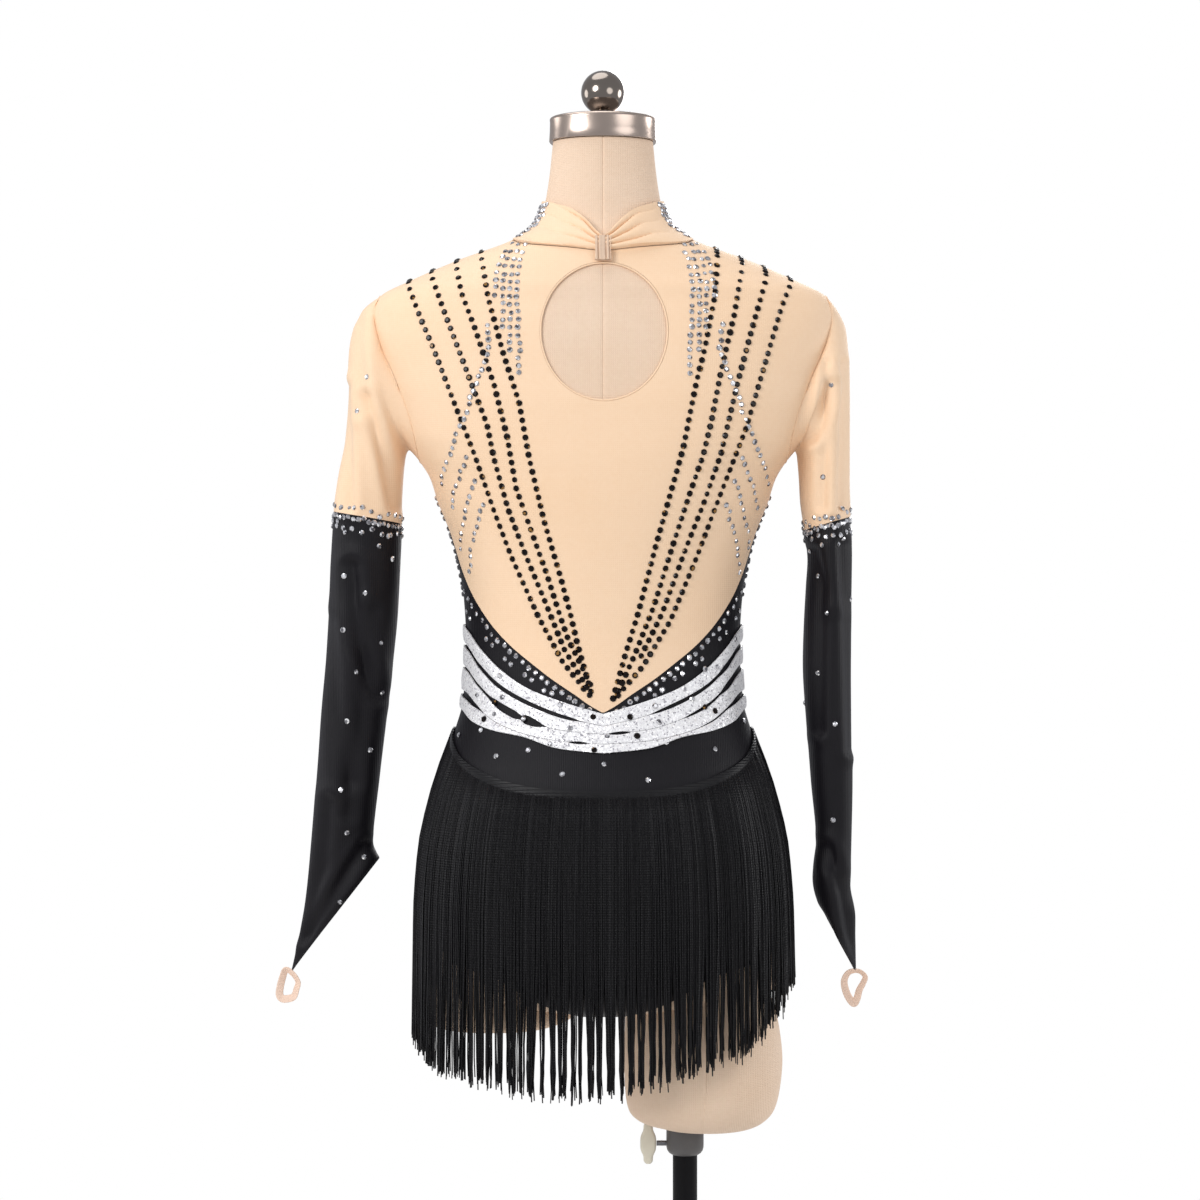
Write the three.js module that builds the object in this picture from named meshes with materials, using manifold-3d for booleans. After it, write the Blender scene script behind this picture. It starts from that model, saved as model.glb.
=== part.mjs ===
// A figure skating dress on the limbless dress form that holds it, with the form's stand.
// Millimetres, +Z up. The back of the dress faces -Y, its front +Y, and the wearer's right is +X.
// The origin is on the floor, on the axis of the stand's pole.
// Inside the group "figure" the origin is under the middle of the body instead.

import * as THREE from 'three';
import Module from 'manifold-3d';
import { mergeVertices } from 'three/addons/utils/BufferGeometryUtils.js';

const wasm = await Module();
wasm.setup();

// Driving dimensions

const seamGap = 0.3;            // between two pieces that are sewn or laid together
const clothWall = 1.2;          // stretch cloth with its seam allowance
const formGap = 0.8;            // from the inside of the cloth to the form
const aroundBody = 24;          // facets round the body
const aroundSleeve = 12;        // facets round a sleeve
const tallestFacet = 50;        // height of a facet on the body

const poleFromBody = 73.8;      // the pole carries the right thigh, off the body's middle
const pole = { radius: 11, bore: 11.3, foot: 4.3, top: 785 };
const boreTop = 895;            // leaves the slide its way down
const base = { radius: 170, thick: 10, bevel: 2, hub: 20, hubTop: 24, socketFloor: 4 };
const poleCollar = { radius: 16.8, bottom: 623, top: 646.7, bevel: 4 };
const clamp = { z: 632.5, leverX: 40.7, reach: 18.2, belly: 7.2, tip: 4.2, thick: 9 };
const screw = { radius: 2.5, hole: 2.8 };
const finial = { y: 13, ball: 19.5, ballZ: 1580.5, stem: 8, stemFoot: 1553.8 };

const keyhole = { x: 0.5, z: 1354.5, halfWidth: 53, halfHeight: 61, binding: 1.2 };
const armhole = { top: 1394, bottom: 1245 };
const gatherBand = { width: 15, low: 1418, high: 1438, thick: 2, out: 3.2 };
const fringe = { strands: 108, width: 2.8, thick: 2.2, strip: 7, unevenHem: 7, sway: 0.9 };
const hipLevel = 845;           // the fringe falls straight below it
const loopBand = { width: 6.5, thick: 1.6 };
const trimInside = 1.1;         // straps and strip clear the facets under them
const strapOutside = 2.3;
const stripOutside = 2.7;

// Tables: a row for each section or point, with its columns named first

const body = table(['z', 'half', 'back', 'front', 'square'], [
  [750.5, 30, 0.3, 0.3, 2], [751.5, 60, 26, 24, 2], [756, 112, 64, 52, 2.1], [766, 148, 94, 77, 2.2],
  [785, 160, 109, 90, 2.2], [833, 163, 117, 97, 2.2], [896, 160, 117, 101, 2.2], [950, 150, 110, 101, 2.2],
  [975, 143, 104, 100, 2.15], [1005, 133, 94, 98, 2.1], [1031, 126, 85, 96, 2.1], [1080, 123, 80, 95, 2.1],
  [1121, 125, 84, 104, 2.1], [1157, 131, 90, 116, 2.1], [1180, 137, 94, 124, 2.15],
  [1211, 149, 99, 132, 2.25], [1230, 155, 101, 131, 2.35], [1249, 167, 102, 128, 2.5],
  [1264, 177, 102, 124, 2.6], [1289, 187, 102, 117, 2.7], [1313, 196, 100, 108, 2.8],
  [1350, 207, 95, 90, 2.8], [1372, 210, 90, 79, 2.6], [1384, 207, 86, 74, 2.5], [1394, 199, 84, 71, 2.4],
  [1406, 176, 79, 67, 2.2], [1425, 133, 71, 62, 2], [1443, 84, 62, 59, 2], [1452, 68, 56, 58, 2],
  [1463, 59, 50, 58, 2], [1479, 54, 44, 58, 2], [1504, 50, 38, 59, 2], [1533, 47, 34, 60, 2],
]);

// Lines that run round the body: the angle is in degrees from the middle of the back
const lines = table(
  ['angle', 'collarSeam', 'collarTop', 'beltTop', 'slit1', 'slit2', 'slit3', 'beltBottom', 'fringeTop',
    'hemLeft', 'hemRight'], [
    [0, 1426, 1437, 1021.8, 1011.3, 1004.4, 996, 988.5, 956.3, 691, 691],
    [15, 1430, 1456, 1032.2, 1019.5, 1007.8, 998.5, 992.3, 957.5, 693, 694],
    [30, 1433, 1467, 1043.5, 1031.2, 1016.5, 1004.6, 1001.8, 962.3, 695, 699],
    [45, 1436, 1472, 1059.7, 1045, 1028.8, 1014, 1006.6, 971.2, 697, 708],
    [60, 1440, 1476, 1078, 1062.5, 1045.5, 1027, 1013.3, 982, 701, 722],
    [75, 1443, 1478, 1094, 1078.5, 1059.2, 1036.5, 1022.7, 995, 712, 742],
    [90, 1446, 1479, 1099.6, 1083.4, 1062.7, 1039, 1026, 1006.3, 734, 770],
    [120, 1442, 1478, 1094, 1078, 1057, 1034, 1018, 1003, 712, 745],
    [150, 1434, 1474, 1082, 1066, 1046, 1025, 1008, 992, 700, 715],
    [180, 1430, 1472, 1076, 1060, 1040, 1020, 1004, 986, 700, 700],
  ]);

// The top edge of the black cloth: a deep V on the back, level under the arms on the front
const blackTop = table(['angle', 'z'], [
  [0, 1023], [5, 1030], [10, 1038], [20, 1052], [30, 1066.5], [40, 1080.5], [50, 1096], [60, 1113.5],
  [70, 1132], [80, 1160], [86, 1195], [90, 1218], [100, 1222], [180, 1222],
]);

// The slits of the belt open towards the sides
const slitWidths = table(['angle', 'slit1', 'slit2', 'slit3'], [
  [0, 0.35, 0.35, 0.35], [12, 2.7, 0.35, 0.35], [28, 2.7, 1.5, 0.35], [40, 2.7, 4.3, 0.35],
  [60, 2.7, 3.4, 0.8], [70, 2.7, 2.9, 3], [90, 2.7, 2.7, 3.2], [130, 1.2, 1.2, 1.2],
  [180, 0.35, 0.35, 0.35],
]);

// How far the armhole seam lies from the body's middle
const armSeam = table(['z', 'x'], [
  [1245, 163.8], [1265, 166.5], [1292, 173.7], [1319, 184.5], [1346, 196.5], [1373, 203], [1394, 199],
]);

const legLine = table(['x', 'z'], [
  [18, 700], [18, 756], [57, 773], [96, 795], [134, 806], [148, 834], [156, 870], [190, 885], [190, 700],
]);

const thighSections = table(['z', 'inner', 'outer', 'back', 'front', 'square'], [
  [647, 55, 128, 42, 36, 2], [649, 50, 134, 52, 44, 2.1], [651.8, 44, 140, 60, 52, 2.2],
  [656, 31, 146, 68, 58, 2.3], [664, 23, 153, 76, 65, 2.3], [680, 20, 158, 83, 71, 2.3],
  [710, 19, 161, 88, 75, 2.3], [745, 20, 157, 87, 70, 2.3], [770, 21, 150, 83, 66, 2.3],
  [800, 24, 146, 82, 64, 2.3],
]);

const stumpSections = table(['z', 'inner', 'outer', 'back', 'front', 'square'], [
  [731, 39, 157, 83, 66, 2.3], [738, 28, 157, 86, 69, 2.3], [750, 21, 155, 87, 70, 2.3],
  [770, 21, 150, 83, 66, 2.3], [800, 24, 146, 82, 64, 2.3],
]);

// Rings of the sleeves, from armhole to hand: the outermost and innermost point of each ring
const sleeveColumns = ['outerX', 'outerZ', 'innerX', 'innerZ', 'depth', 'y', 'pinch'];
const leftSleeve = {
  side: -1,
  nude: 7,
  rows: table(sleeveColumns, [
    [199, 1394, 164, 1245, 57, 0, 0], [215, 1384, 170.5, 1253, 58, 0, 0],
    [224, 1366, 174.5, 1256, 57, 0, 0], [227.7, 1341, 177, 1253, 55, 0, 0],
    [229, 1301, 179, 1244, 52, 0, 0], [232, 1265, 180.5, 1230, 48, 0, 0],
    [237.6, 1229, 181, 1212, 44, 1, 0], [242, 1200.4, 181, 1189.6, 40, 1, 0],
    [245, 1157, 182.5, 1153, 37, 2, 0], [247, 1112, 185, 1108, 36, 3, 0],
    [250, 1064, 189.5, 1064, 35, 4, 0], [254, 1013, 195.5, 1013, 33, 6, 0],
    [258.5, 960, 202, 960, 31, 8, 0], [263, 905, 208, 905, 27, 10, 0], [266.5, 868, 205, 893, 26, 11, 0.15],
    [272, 830, 203, 890, 26, 11, 0.4], [281.7, 786, 202, 888, 26, 11, 0.72],
  ]),
};
const rightSleeve = {
  side: 1,
  nude: 7,
  rows: table(sleeveColumns, [
    [199, 1394, 164, 1245, 57, 0, 0], [211.5, 1382, 170, 1252, 58, 0, 0], [218, 1364, 173, 1255, 57, 0, 0],
    [220.5, 1337, 174.5, 1252, 55, 0, 0], [221, 1301, 175.5, 1243, 52, 0, 0],
    [221, 1265, 176.5, 1230, 49, 0, 0], [221, 1229, 177.5, 1211, 45, 0, 0],
    [222, 1196, 181, 1184, 42, 0, 0], [223, 1157, 184, 1155, 40, 0, 0], [223, 1112, 182, 1110, 38, 0, 0],
    [223, 1064, 180.5, 1064, 37, 0, 0], [223.5, 1013, 183.5, 1013, 36, 1, 0],
    [224, 960, 187.5, 960, 34, 2, 0], [223, 905, 192.5, 905, 31, 3, 0], [222, 868, 189, 870, 30, 3, 0.1],
    [227, 835, 193, 850, 31, 3, 0.4], [228, 787, 200, 838, 32, 3, 0.75],
  ]),
};

// A strand's rings: their share of its length, how far off the body, and how thick
const strandRings = table(['share', 'out', 'size'], [
  [0, 1.4, 0.4], [0.16, 5, 1], [0.42, 8, 1], [1, 11, 1],
]);

const neckCapRings = table(['z', 'scale'], [
  [0.3, 0.88], [0.3, 1.02], [16, 1.02], [19, 0.98], [20.5, 0.9], [20.5, 0.6],
]);

const fingerLoops = table(['side', 'x', 'y', 'top', 'width', 'drop'], [
  [-1, 284, 11, 785.4, 25, 27], [1, 226.5, 3, 786.4, 25, 32],
]);

// Helpers that read tables

function table(columns, rows) {
  return rows.map((row) => Object.fromEntries(columns.map((name, i) => [name, row[i]])));
}

// A smooth line through a column of a table that never overshoots its rows
function throughRows(rows, key, column) {
  const x = rows.map((row) => row[key]);
  const y = rows.map((row) => row[column]);
  const last = x.length - 1;
  const rise = x.slice(1).map((value, i) => (y[i + 1] - y[i]) / (value - x[i]));
  const slope = x.map((value, i) => {
    if (i === 0) return rise[0];
    if (i === last) return rise[last - 1];
    if (rise[i - 1] * rise[i] <= 0) return 0;
    const before = x[i] - x[i - 1];
    const after = x[i + 1] - x[i];
    const weight = [2 * after + before, after + 2 * before];
    return (weight[0] + weight[1]) / (weight[0] / rise[i - 1] + weight[1] / rise[i]);
  });
  return (value) => {
    const at = THREE.MathUtils.clamp(value, x[0], x[last]);
    const i = Math.min(x.findLastIndex((start) => start <= at), last - 1);
    const span = x[i + 1] - x[i];
    const t = (at - x[i]) / span;
    const s = 1 - t;
    const ends = y[i] * (1 + 2 * t) * s * s + y[i + 1] * t * t * (3 - 2 * t);
    return ends + (slope[i] * s - slope[i + 1] * t) * span * t * s;
  };
}

// A line round the body takes the angle in radians, positive on the wearer's right
function aroundLine(rows, column) {
  const line = throughRows(rows, 'angle', column);
  return (angle) => line(Math.abs(THREE.MathUtils.radToDeg(angle)));
}

const power = (value, exponent) => Math.sign(value) * Math.abs(value) ** exponent;
const bodyHalf = throughRows(body, 'z', 'half');
const bodyBack = throughRows(body, 'z', 'back');
const bodyFront = throughRows(body, 'z', 'front');
const bodySquare = throughRows(body, 'z', 'square');
const armSeamX = throughRows(armSeam, 'z', 'x');

// A point of the outside of the cloth, moved out along the surface's normal.
// The section is a superellipse, deeper or shallower in front than at the back.
function onBody(angle, z, out = 0) {
  const half = bodyHalf(z);
  const isBack = Math.cos(angle) > 0;
  const depthAt = isBack ? bodyBack : bodyFront;
  const depth = depthAt(z);
  const square = bodySquare(z);
  const across = power(Math.sin(angle), 2 / square);
  const along = -power(Math.cos(angle), 2 / square);
  const step = 0.5;
  const halfSlope = (bodyHalf(z + step) - bodyHalf(z - step)) / (2 * step);
  const depthSlope = (depthAt(z + step) - depthAt(z - step)) / (2 * step);
  const normal = new THREE.Vector3(
    power(across, square - 1) / half,
    power(along, square - 1) / depth,
    -(Math.abs(across) ** square * halfSlope / half + Math.abs(along) ** square * depthSlope / depth),
  ).normalize();
  return new THREE.Vector3(across * half, along * depth, z).addScaledVector(normal, out);
}

// The body's angle at a place on the back that is seen at x, z
function backAngle(x, z) {
  const share = Math.min(Math.abs(x) / bodyHalf(z), 1);
  return Math.sign(x) * Math.asin(share ** (bodySquare(z) / 2));
}

// Helpers that make solids

function turnOutward(geometry) {
  const p = geometry.getAttribute('position');
  const index = geometry.getIndex().array;
  const [a, b, c] = [new THREE.Vector3(), new THREE.Vector3(), new THREE.Vector3()];
  let volume = 0;
  for (let i = 0; i < index.length; i += 3) {
    a.fromBufferAttribute(p, index[i]);
    b.fromBufferAttribute(p, index[i + 1]);
    c.fromBufferAttribute(p, index[i + 2]);
    volume += a.dot(b.cross(c));
  }
  if (volume < 0) index.reverse();
  return geometry;
}

function fromGrid(points, triangles) {
  const geometry = new THREE.BufferGeometry();
  geometry.setAttribute('position', new THREE.Float32BufferAttribute(points.flatMap((p) => p.toArray()), 3));
  geometry.setIndex(triangles);
  return turnOutward(geometry);
}

// A closed wall between an outer and an inner sheet, each of rows of points.
// A sheet that goes round has its last column beside its first, else its sides are closed too.
function wall(outer, inner, goesRound) {
  const rows = outer.length;
  const columns = outer[0].length;
  const points = [...outer.flat(), ...inner.flat()];
  const at = (sheet, row, column) => (sheet * rows + row) * columns + (column % columns);
  const triangles = [];
  const quad = (a, b, c, d) => triangles.push(a, b, c, a, c, d);
  const cells = goesRound ? columns : columns - 1;
  for (let row = 0; row < rows - 1; row += 1) {
    for (let column = 0; column < cells; column += 1) {
      quad(at(0, row, column), at(0, row, column + 1), at(0, row + 1, column + 1), at(0, row + 1, column));
      quad(at(1, row, column), at(1, row + 1, column), at(1, row + 1, column + 1), at(1, row, column + 1));
    }
  }
  for (let column = 0; column < cells; column += 1) {
    const top = rows - 1;
    quad(at(1, 0, column), at(1, 0, column + 1), at(0, 0, column + 1), at(0, 0, column));
    quad(at(0, top, column), at(0, top, column + 1), at(1, top, column + 1), at(1, top, column));
  }
  for (let row = 0; row < rows - 1 && !goesRound; row += 1) {
    const side = columns - 1;
    quad(at(0, row, 0), at(0, row + 1, 0), at(1, row + 1, 0), at(1, row, 0));
    quad(at(0, row, side), at(1, row, side), at(1, row + 1, side), at(0, row + 1, side));
  }
  return fromGrid(points, triangles);
}

// A closed solid through rings of points, with a fan over each end
function loft(rings) {
  const count = rings[0].length;
  const points = rings.flat();
  const triangles = [];
  rings.slice(1).forEach((ring, i) => {
    for (let k = 0; k < count; k += 1) {
      const next = (k + 1) % count;
      const [a, b] = [i * count + k, i * count + next];
      triangles.push(a, b, b + count, a, b + count, a + count);
    }
  });
  const last = (rings.length - 1) * count;
  for (let k = 1; k < count - 1; k += 1) {
    triangles.push(0, k + 1, k, last, last + k, last + k + 1);
  }
  return fromGrid(points, triangles);
}

function toSolid(geometry) {
  const bare = geometry.clone();
  bare.deleteAttribute('normal');
  bare.deleteAttribute('uv');
  const merged = mergeVertices(bare, 1e-4);
  return new wasm.Manifold(new wasm.Mesh({
    numProp: 3,
    vertProperties: new Float32Array(merged.getAttribute('position').array),
    triVerts: new Uint32Array(merged.getIndex().array),
  }));
}

function toGeometry(solid) {
  const mesh = solid.getMesh();
  const geometry = new THREE.BufferGeometry();
  geometry.setAttribute('position', new THREE.BufferAttribute(mesh.vertProperties, 3));
  geometry.setIndex(new THREE.BufferAttribute(mesh.triVerts, 1));
  return geometry;
}

// An outline in x and z, carried along Y
function prism(outline, fromY, toY) {
  const shape = new THREE.Shape(outline.map((point) => new THREE.Vector2(point.x, point.z)));
  const geometry = new THREE.ExtrudeGeometry(shape, { depth: toY - fromY, bevelEnabled: false });
  return geometry.rotateX(Math.PI / 2).translate(0, toY, 0);
}

function mirrored(outline) {
  return outline.map((point) => ({ ...point, x: -point.x }));
}

function turned(profile, segments) {
  const points = profile.map(([radius, z]) => new THREE.Vector2(radius, z));
  return new THREE.LatheGeometry(points, segments).rotateX(Math.PI / 2);
}

// Sheets that follow the body

const levels = body.flatMap((row, i) => {
  const next = body[i + 1];
  if (!next) return [row.z];
  const parts = Math.ceil((next.z - row.z) / tallestFacet);
  return Array.from({ length: parts }, (_, k) => THREE.MathUtils.lerp(row.z, next.z, k / parts));
});

// Equal turns from 0 to half a turn, then from minus half a turn back to 0
function angles(count) {
  return Array.from({ length: count }, (_, k) => ((2 * k / count + 1) % 2 - 1) * Math.PI);
}

function bodyRing(z, out) {
  return angles(aroundBody).map((angle) => onBody(angle, z, out));
}

function bodyShell(inside, outside, low, high) {
  const heights = levels.filter((z, i) => (levels[i + 1] ?? z) > low && (levels[i - 1] ?? z) < high);
  const sheet = (out) => heights.map((z) => bodyRing(z, out));
  return toSolid(wall(sheet(outside), sheet(inside), true));
}

// The space round the body between two lines, as a thick wall, to cut a sheet to shape
function zone(low, high) {
  const steps = 6;
  const reach = 0.3;
  const sheet = (scale) => Array.from({ length: steps + 1 }, (_, step) => angles(aroundBody).map((angle) => {
    const z = THREE.MathUtils.lerp(low(angle), high(angle), step / steps);
    return onBody(angle, z).multiplyScalar(scale).setZ(z);
  }));
  return toSolid(wall(sheet(1 + reach), sheet(1 - reach), true));
}

const blackTopLine = aroundLine(blackTop, 'z');
const lineFor = (column) => aroundLine(lines, column);
const raised = (line, by) => (angle) => line(angle) + by;

// A band that lies on the cloth between two lines
function trimBand(low, high, outside) {
  const sheet = (out) => [low, high].map((line) => (
    angles(aroundBody).map((angle) => onBody(angle, line(angle), out))));
  return wall(sheet(outside), sheet(trimInside), true);
}

// One side of the body: everything in front of its side seams, or behind them
function halfSpace(isBack) {
  const size = 1000;
  const centre = (size / 2 + seamGap / 2) * (isBack ? -1 : 1);
  return toSolid(new THREE.BoxGeometry(size, size, size).translate(0, centre, 1100));
}

// The armhole as it is seen from behind; inset moves its edge towards the body's middle
function armholeCut(side, inset) {
  const heights = armholeHeights().filter((z, k) => k <= aroundSleeve / 2);
  const seam = heights.map((z) => ({ x: armSeamX(z) - inset, z }));
  const [farX, farZ] = [260, armhole.top + 50];
  const bottom = { x: seam.at(-1).x, z: armhole.bottom - inset };
  const outline = [
    { x: seam[0].x, z: farZ }, ...seam, bottom, { x: farX, z: bottom.z }, { x: farX, z: farZ },
  ];
  return toSolid(prism(side > 0 ? outline : mirrored(outline), -200, 200));
}

function armholeHeights() {
  const middle = (armhole.top + armhole.bottom) / 2;
  const half = (armhole.top - armhole.bottom) / 2;
  return angles(aroundSleeve).map((angle) => middle + half * Math.cos(angle));
}

function legCut(side) {
  return toSolid(prism(side > 0 ? legLine : mirrored(legLine), -200, 200));
}

// The keyhole is an ellipse seen from behind
function keyholePoint(turn) {
  return {
    x: keyhole.x + keyhole.halfWidth * Math.sin(turn),
    z: keyhole.z + keyhole.halfHeight * Math.cos(turn),
  };
}

function keyholeCut() {
  return toSolid(prism(angles(32).map(keyholePoint), -200, 0));
}

// The back opens from the keyhole up to the collar
function openingCut() {
  const top = 1480;
  const middle = keyhole.z + keyhole.halfHeight;
  const [height, centre] = [top - middle + 10, (top + middle) / 2 - 5];
  return toSolid(new THREE.BoxGeometry(seamGap, 200, height).translate(0, -100, centre));
}

function meshPanel(isBack) {
  const low = raised(blackTopLine, seamGap / 2);
  const high = raised(lineFor('collarSeam'), -seamGap / 2);
  let panel = bodyShell(-clothWall, 0, 1023, 1446).intersect(zone(low, high)).intersect(halfSpace(isBack));
  panel = panel.subtract(armholeCut(-1, 0)).subtract(armholeCut(1, 0));
  return isBack ? panel.subtract(keyholeCut()).subtract(openingCut()) : panel;
}

function blackPanel(isBack) {
  const aboveShell = 1300;
  const above = zone(raised(blackTopLine, -seamGap / 2), () => aboveShell);
  const shell = bodyShell(-clothWall, 0, 700, 1222).subtract(above);
  return shell.intersect(halfSpace(isBack)).subtract(legCut(-1)).subtract(legCut(1));
}

// The belt is four straps, one above the other, parted by the slits
function beltStraps() {
  const slit = (name, side) => {
    const line = lineFor(name);
    const width = aroundLine(slitWidths, name);
    return (angle) => line(angle) + side * width(angle) / 2;
  };
  const edges = [
    [slit('slit1', 1), lineFor('beltTop')], [slit('slit2', 1), slit('slit1', -1)],
    [slit('slit3', 1), slit('slit2', -1)], [lineFor('beltBottom'), slit('slit3', -1)],
  ];
  return edges.map(([low, high]) => trimBand(low, high, strapOutside));
}

// The neckband lies a little proud and is drawn into folds towards the gathering band
function collarBand() {
  const rows = 6;
  const folds = 2.5;
  const foldHeight = 1.5;
  const low = raised(lineFor('collarSeam'), 1.5 * seamGap);
  const high = lineFor('collarTop');
  const end = 0.004;
  const turns = angles(aroundBody).map((angle, column) => (column ? angle : end));
  const sheet = (inside) => Array.from({ length: rows }, (_, row) => {
    const share = row / (rows - 1);
    return [...turns, -end].map((turn) => {
      const drawn = 1 - THREE.MathUtils.smoothstep(Math.abs(turn), 0.15, 1.1);
      const fold = foldHeight * drawn * (0.5 - 0.5 * Math.cos(2 * Math.PI * folds * share));
      const z = THREE.MathUtils.lerp(low(turn), high(turn), share);
      return onBody(turn, z, inside ? 0 : clothWall + fold);
    });
  });
  return wall(sheet(false), sheet(true), false);
}

function gatheringBand() {
  const foot = onBody(0, gatherBand.low, gatherBand.out);
  const head = onBody(0, gatherBand.high, gatherBand.out);
  const length = foot.distanceTo(head);
  const bevel = 0.8;
  const half = gatherBand.width / 2 - bevel;
  const shape = new THREE.Shape([
    new THREE.Vector2(-half, bevel), new THREE.Vector2(half, bevel),
    new THREE.Vector2(half, length - bevel), new THREE.Vector2(-half, length - bevel),
  ]);
  const depth = gatherBand.thick - 2 * bevel;
  const settings = { depth, bevelThickness: bevel, bevelSize: bevel, bevelSegments: 2 };
  const geometry = new THREE.ExtrudeGeometry(shape, settings);
  const lean = Math.atan2(head.y - foot.y, head.z - foot.z);
  return geometry.translate(0, 0, bevel).rotateX(Math.PI / 2 - lean).translate(0, foot.y, foot.z);
}

function keyholeBinding() {
  const out = seamGap + keyhole.binding + 0.2;
  const path = new THREE.CatmullRomCurve3(angles(28).map((turn) => {
    const { x, z } = keyholePoint(turn);
    return onBody(backAngle(x, z), z, out);
  }), true);
  return new THREE.TubeGeometry(path, 28, keyhole.binding, 5, true);
}

// Sleeves

// The armhole ring lies on the body's surface just outside the seam
function armholePoint(side, turn) {
  const middle = (armhole.top + armhole.bottom) / 2;
  const half = (armhole.top - armhole.bottom) / 2;
  const z = middle + half * Math.cos(turn);
  const x = armSeamX(z) + seamGap;
  const isBack = Math.sin(turn) > 0;
  const share = Math.min(x / bodyHalf(z), 1) ** bodySquare(z);
  const depth = (isBack ? bodyBack : bodyFront)(z) * (1 - share) ** (1 / bodySquare(z));
  return new THREE.Vector3(side * x, isBack ? -depth : depth, z);
}

// A ring's section is an ellipse between its outermost and innermost point.
// Pinch narrows its outer end, for the point that covers the hand.
function sleevePoint(sleeve, place, turn) {
  const value = (column) => sleeve.curves[column](place);
  const cos = Math.cos(turn);
  const narrow = 1 - value('pinch') * (1 + cos) / 2;
  const point = new THREE.Vector3(
    sleeve.side * THREE.MathUtils.lerp(value('innerX'), value('outerX'), (1 + cos) / 2),
    value('y') - value('depth') * Math.sin(turn) * narrow,
    THREE.MathUtils.lerp(value('innerZ'), value('outerZ'), (1 + cos) / 2),
  );
  const fromBody = THREE.MathUtils.smoothstep(place, 0, 2);
  return armholePoint(sleeve.side, turn).lerp(point, fromBody);
}

function sleeveInside(sleeve, place, turn) {
  const step = 0.02;
  const last = sleeve.rows.length - 1;
  const [before, after] = [Math.max(place - step, 0), Math.min(place + step, last)];
  const down = sleevePoint(sleeve, after, turn).sub(sleevePoint(sleeve, before, turn));
  const round = sleevePoint(sleeve, place, turn + step).sub(sleevePoint(sleeve, place, turn - step));
  const normal = round.cross(down).multiplyScalar(sleeve.side).normalize();
  const point = sleevePoint(sleeve, place, turn);
  const inside = point.clone().addScaledVector(normal, clothWall);
  return place === 0 ? inside.setX(point.x) : inside;
}

function sleeveStretch(sleeve, from, to) {
  sleeve.curves ??= Object.fromEntries(sleeveColumns.map((column) => {
    const rows = sleeve.rows.map((row, place) => ({ ...row, place }));
    return [column, throughRows(rows, 'place', column)];
  }));
  const between = sleeve.rows.map((_, place) => place).filter((place) => place > from && place < to);
  const places = [from, ...between, to];
  const sheet = (pointAt) => places.map((place) => (
    angles(aroundSleeve).map((turn) => pointAt(sleeve, place, turn))));
  return wall(sheet(sleevePoint), sheet(sleeveInside), true);
}

// The loop that goes round a finger is an oval band of elastic
function fingerLoop({ side, x, y, top, width, drop }) {
  const oval = (inset) => {
    const curve = new THREE.EllipseCurve(0, 0, width / 2 - inset, drop / 2 - inset);
    return curve.getPoints(20).slice(0, -1);
  };
  const shape = new THREE.Shape(oval(0));
  shape.holes.push(new THREE.Path(oval(loopBand.thick)));
  const geometry = new THREE.ExtrudeGeometry(shape, { depth: loopBand.width, bevelEnabled: false });
  return geometry.rotateX(Math.PI / 2).translate(side * x, y + loopBand.width / 2, top - drop / 2);
}

// Fringe

// The strands hang from the strip, clear the hips and fall straight below them
function strandPoint(angle, z, out) {
  const point = onBody(angle, Math.max(z, hipLevel), out);
  return point.setZ(z);
}

function uneven(index, seed) {
  const value = Math.sin(index * 12.9898 + seed * 78.233) * 43758.5453;
  return value - Math.floor(value);
}

function strand(angle, index) {
  const top = lineFor('fringeTop')(angle) - fringe.strip * 0.6;
  const hemLine = lineFor(angle < 0 ? 'hemLeft' : 'hemRight');
  const hem = hemLine(angle) + fringe.unevenHem * (uneven(index, 1) - 0.5);
  const rings = strandRings.map(({ share, out, size }) => {
    const z = THREE.MathUtils.lerp(top, hem, share);
    const width = fringe.width * size / 2;
    const sway = fringe.sway * share * (2 * uneven(index, 2) - 1);
    const middle = strandPoint(angle, z, out);
    const outward = strandPoint(angle, z, out + 1).sub(middle).setZ(0).normalize();
    const sideways = new THREE.Vector3(-outward.y, outward.x, 0);
    const corner = (across, outwards) => middle.clone()
      .addScaledVector(sideways, across * width + sway)
      .addScaledVector(outward, outwards * fringe.thick * size);
    return [corner(-1, 0), corner(1, 0), corner(0, 1)];
  });
  return loft(rings);
}

// Strands stand at equal distances along the strip
function strandAngles() {
  const steps = 720;
  const line = lineFor('fringeTop');
  const way = [0];
  const at = (k) => -Math.PI + 2 * Math.PI * k / steps;
  for (let k = 1; k <= steps; k += 1) {
    way.push(way[k - 1] + onBody(at(k), line(at(k)), 2).distanceTo(onBody(at(k - 1), line(at(k - 1)), 2)));
  }
  return Array.from({ length: fringe.strands }, (_, index) => {
    const goal = (index + 0.5) / fringe.strands * way[steps];
    const k = way.findIndex((length) => length > goal);
    return at(k - 1 + (goal - way[k - 1]) / (way[k] - way[k - 1]));
  });
}

function fringeSkirt() {
  const top = lineFor('fringeTop');
  const strip = toSolid(trimBand(raised(top, -fringe.strip), top, stripOutside));
  return strandAngles().reduce((skirt, angle, index) => (
    skirt.add(toSolid(strand(angle, index)))), strip);
}

// The form and its stand

function sectionRing({ z, inner, outer, back, front, square }) {
  const half = (outer - inner) / 2;
  return angles(22).map((angle) => {
    const depth = Math.cos(angle) > 0 ? back : front;
    const x = (inner + outer) / 2 + half * power(Math.sin(angle), 2 / square);
    return new THREE.Vector3(x, -depth * power(Math.cos(angle), 2 / square), z);
  });
}

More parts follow.
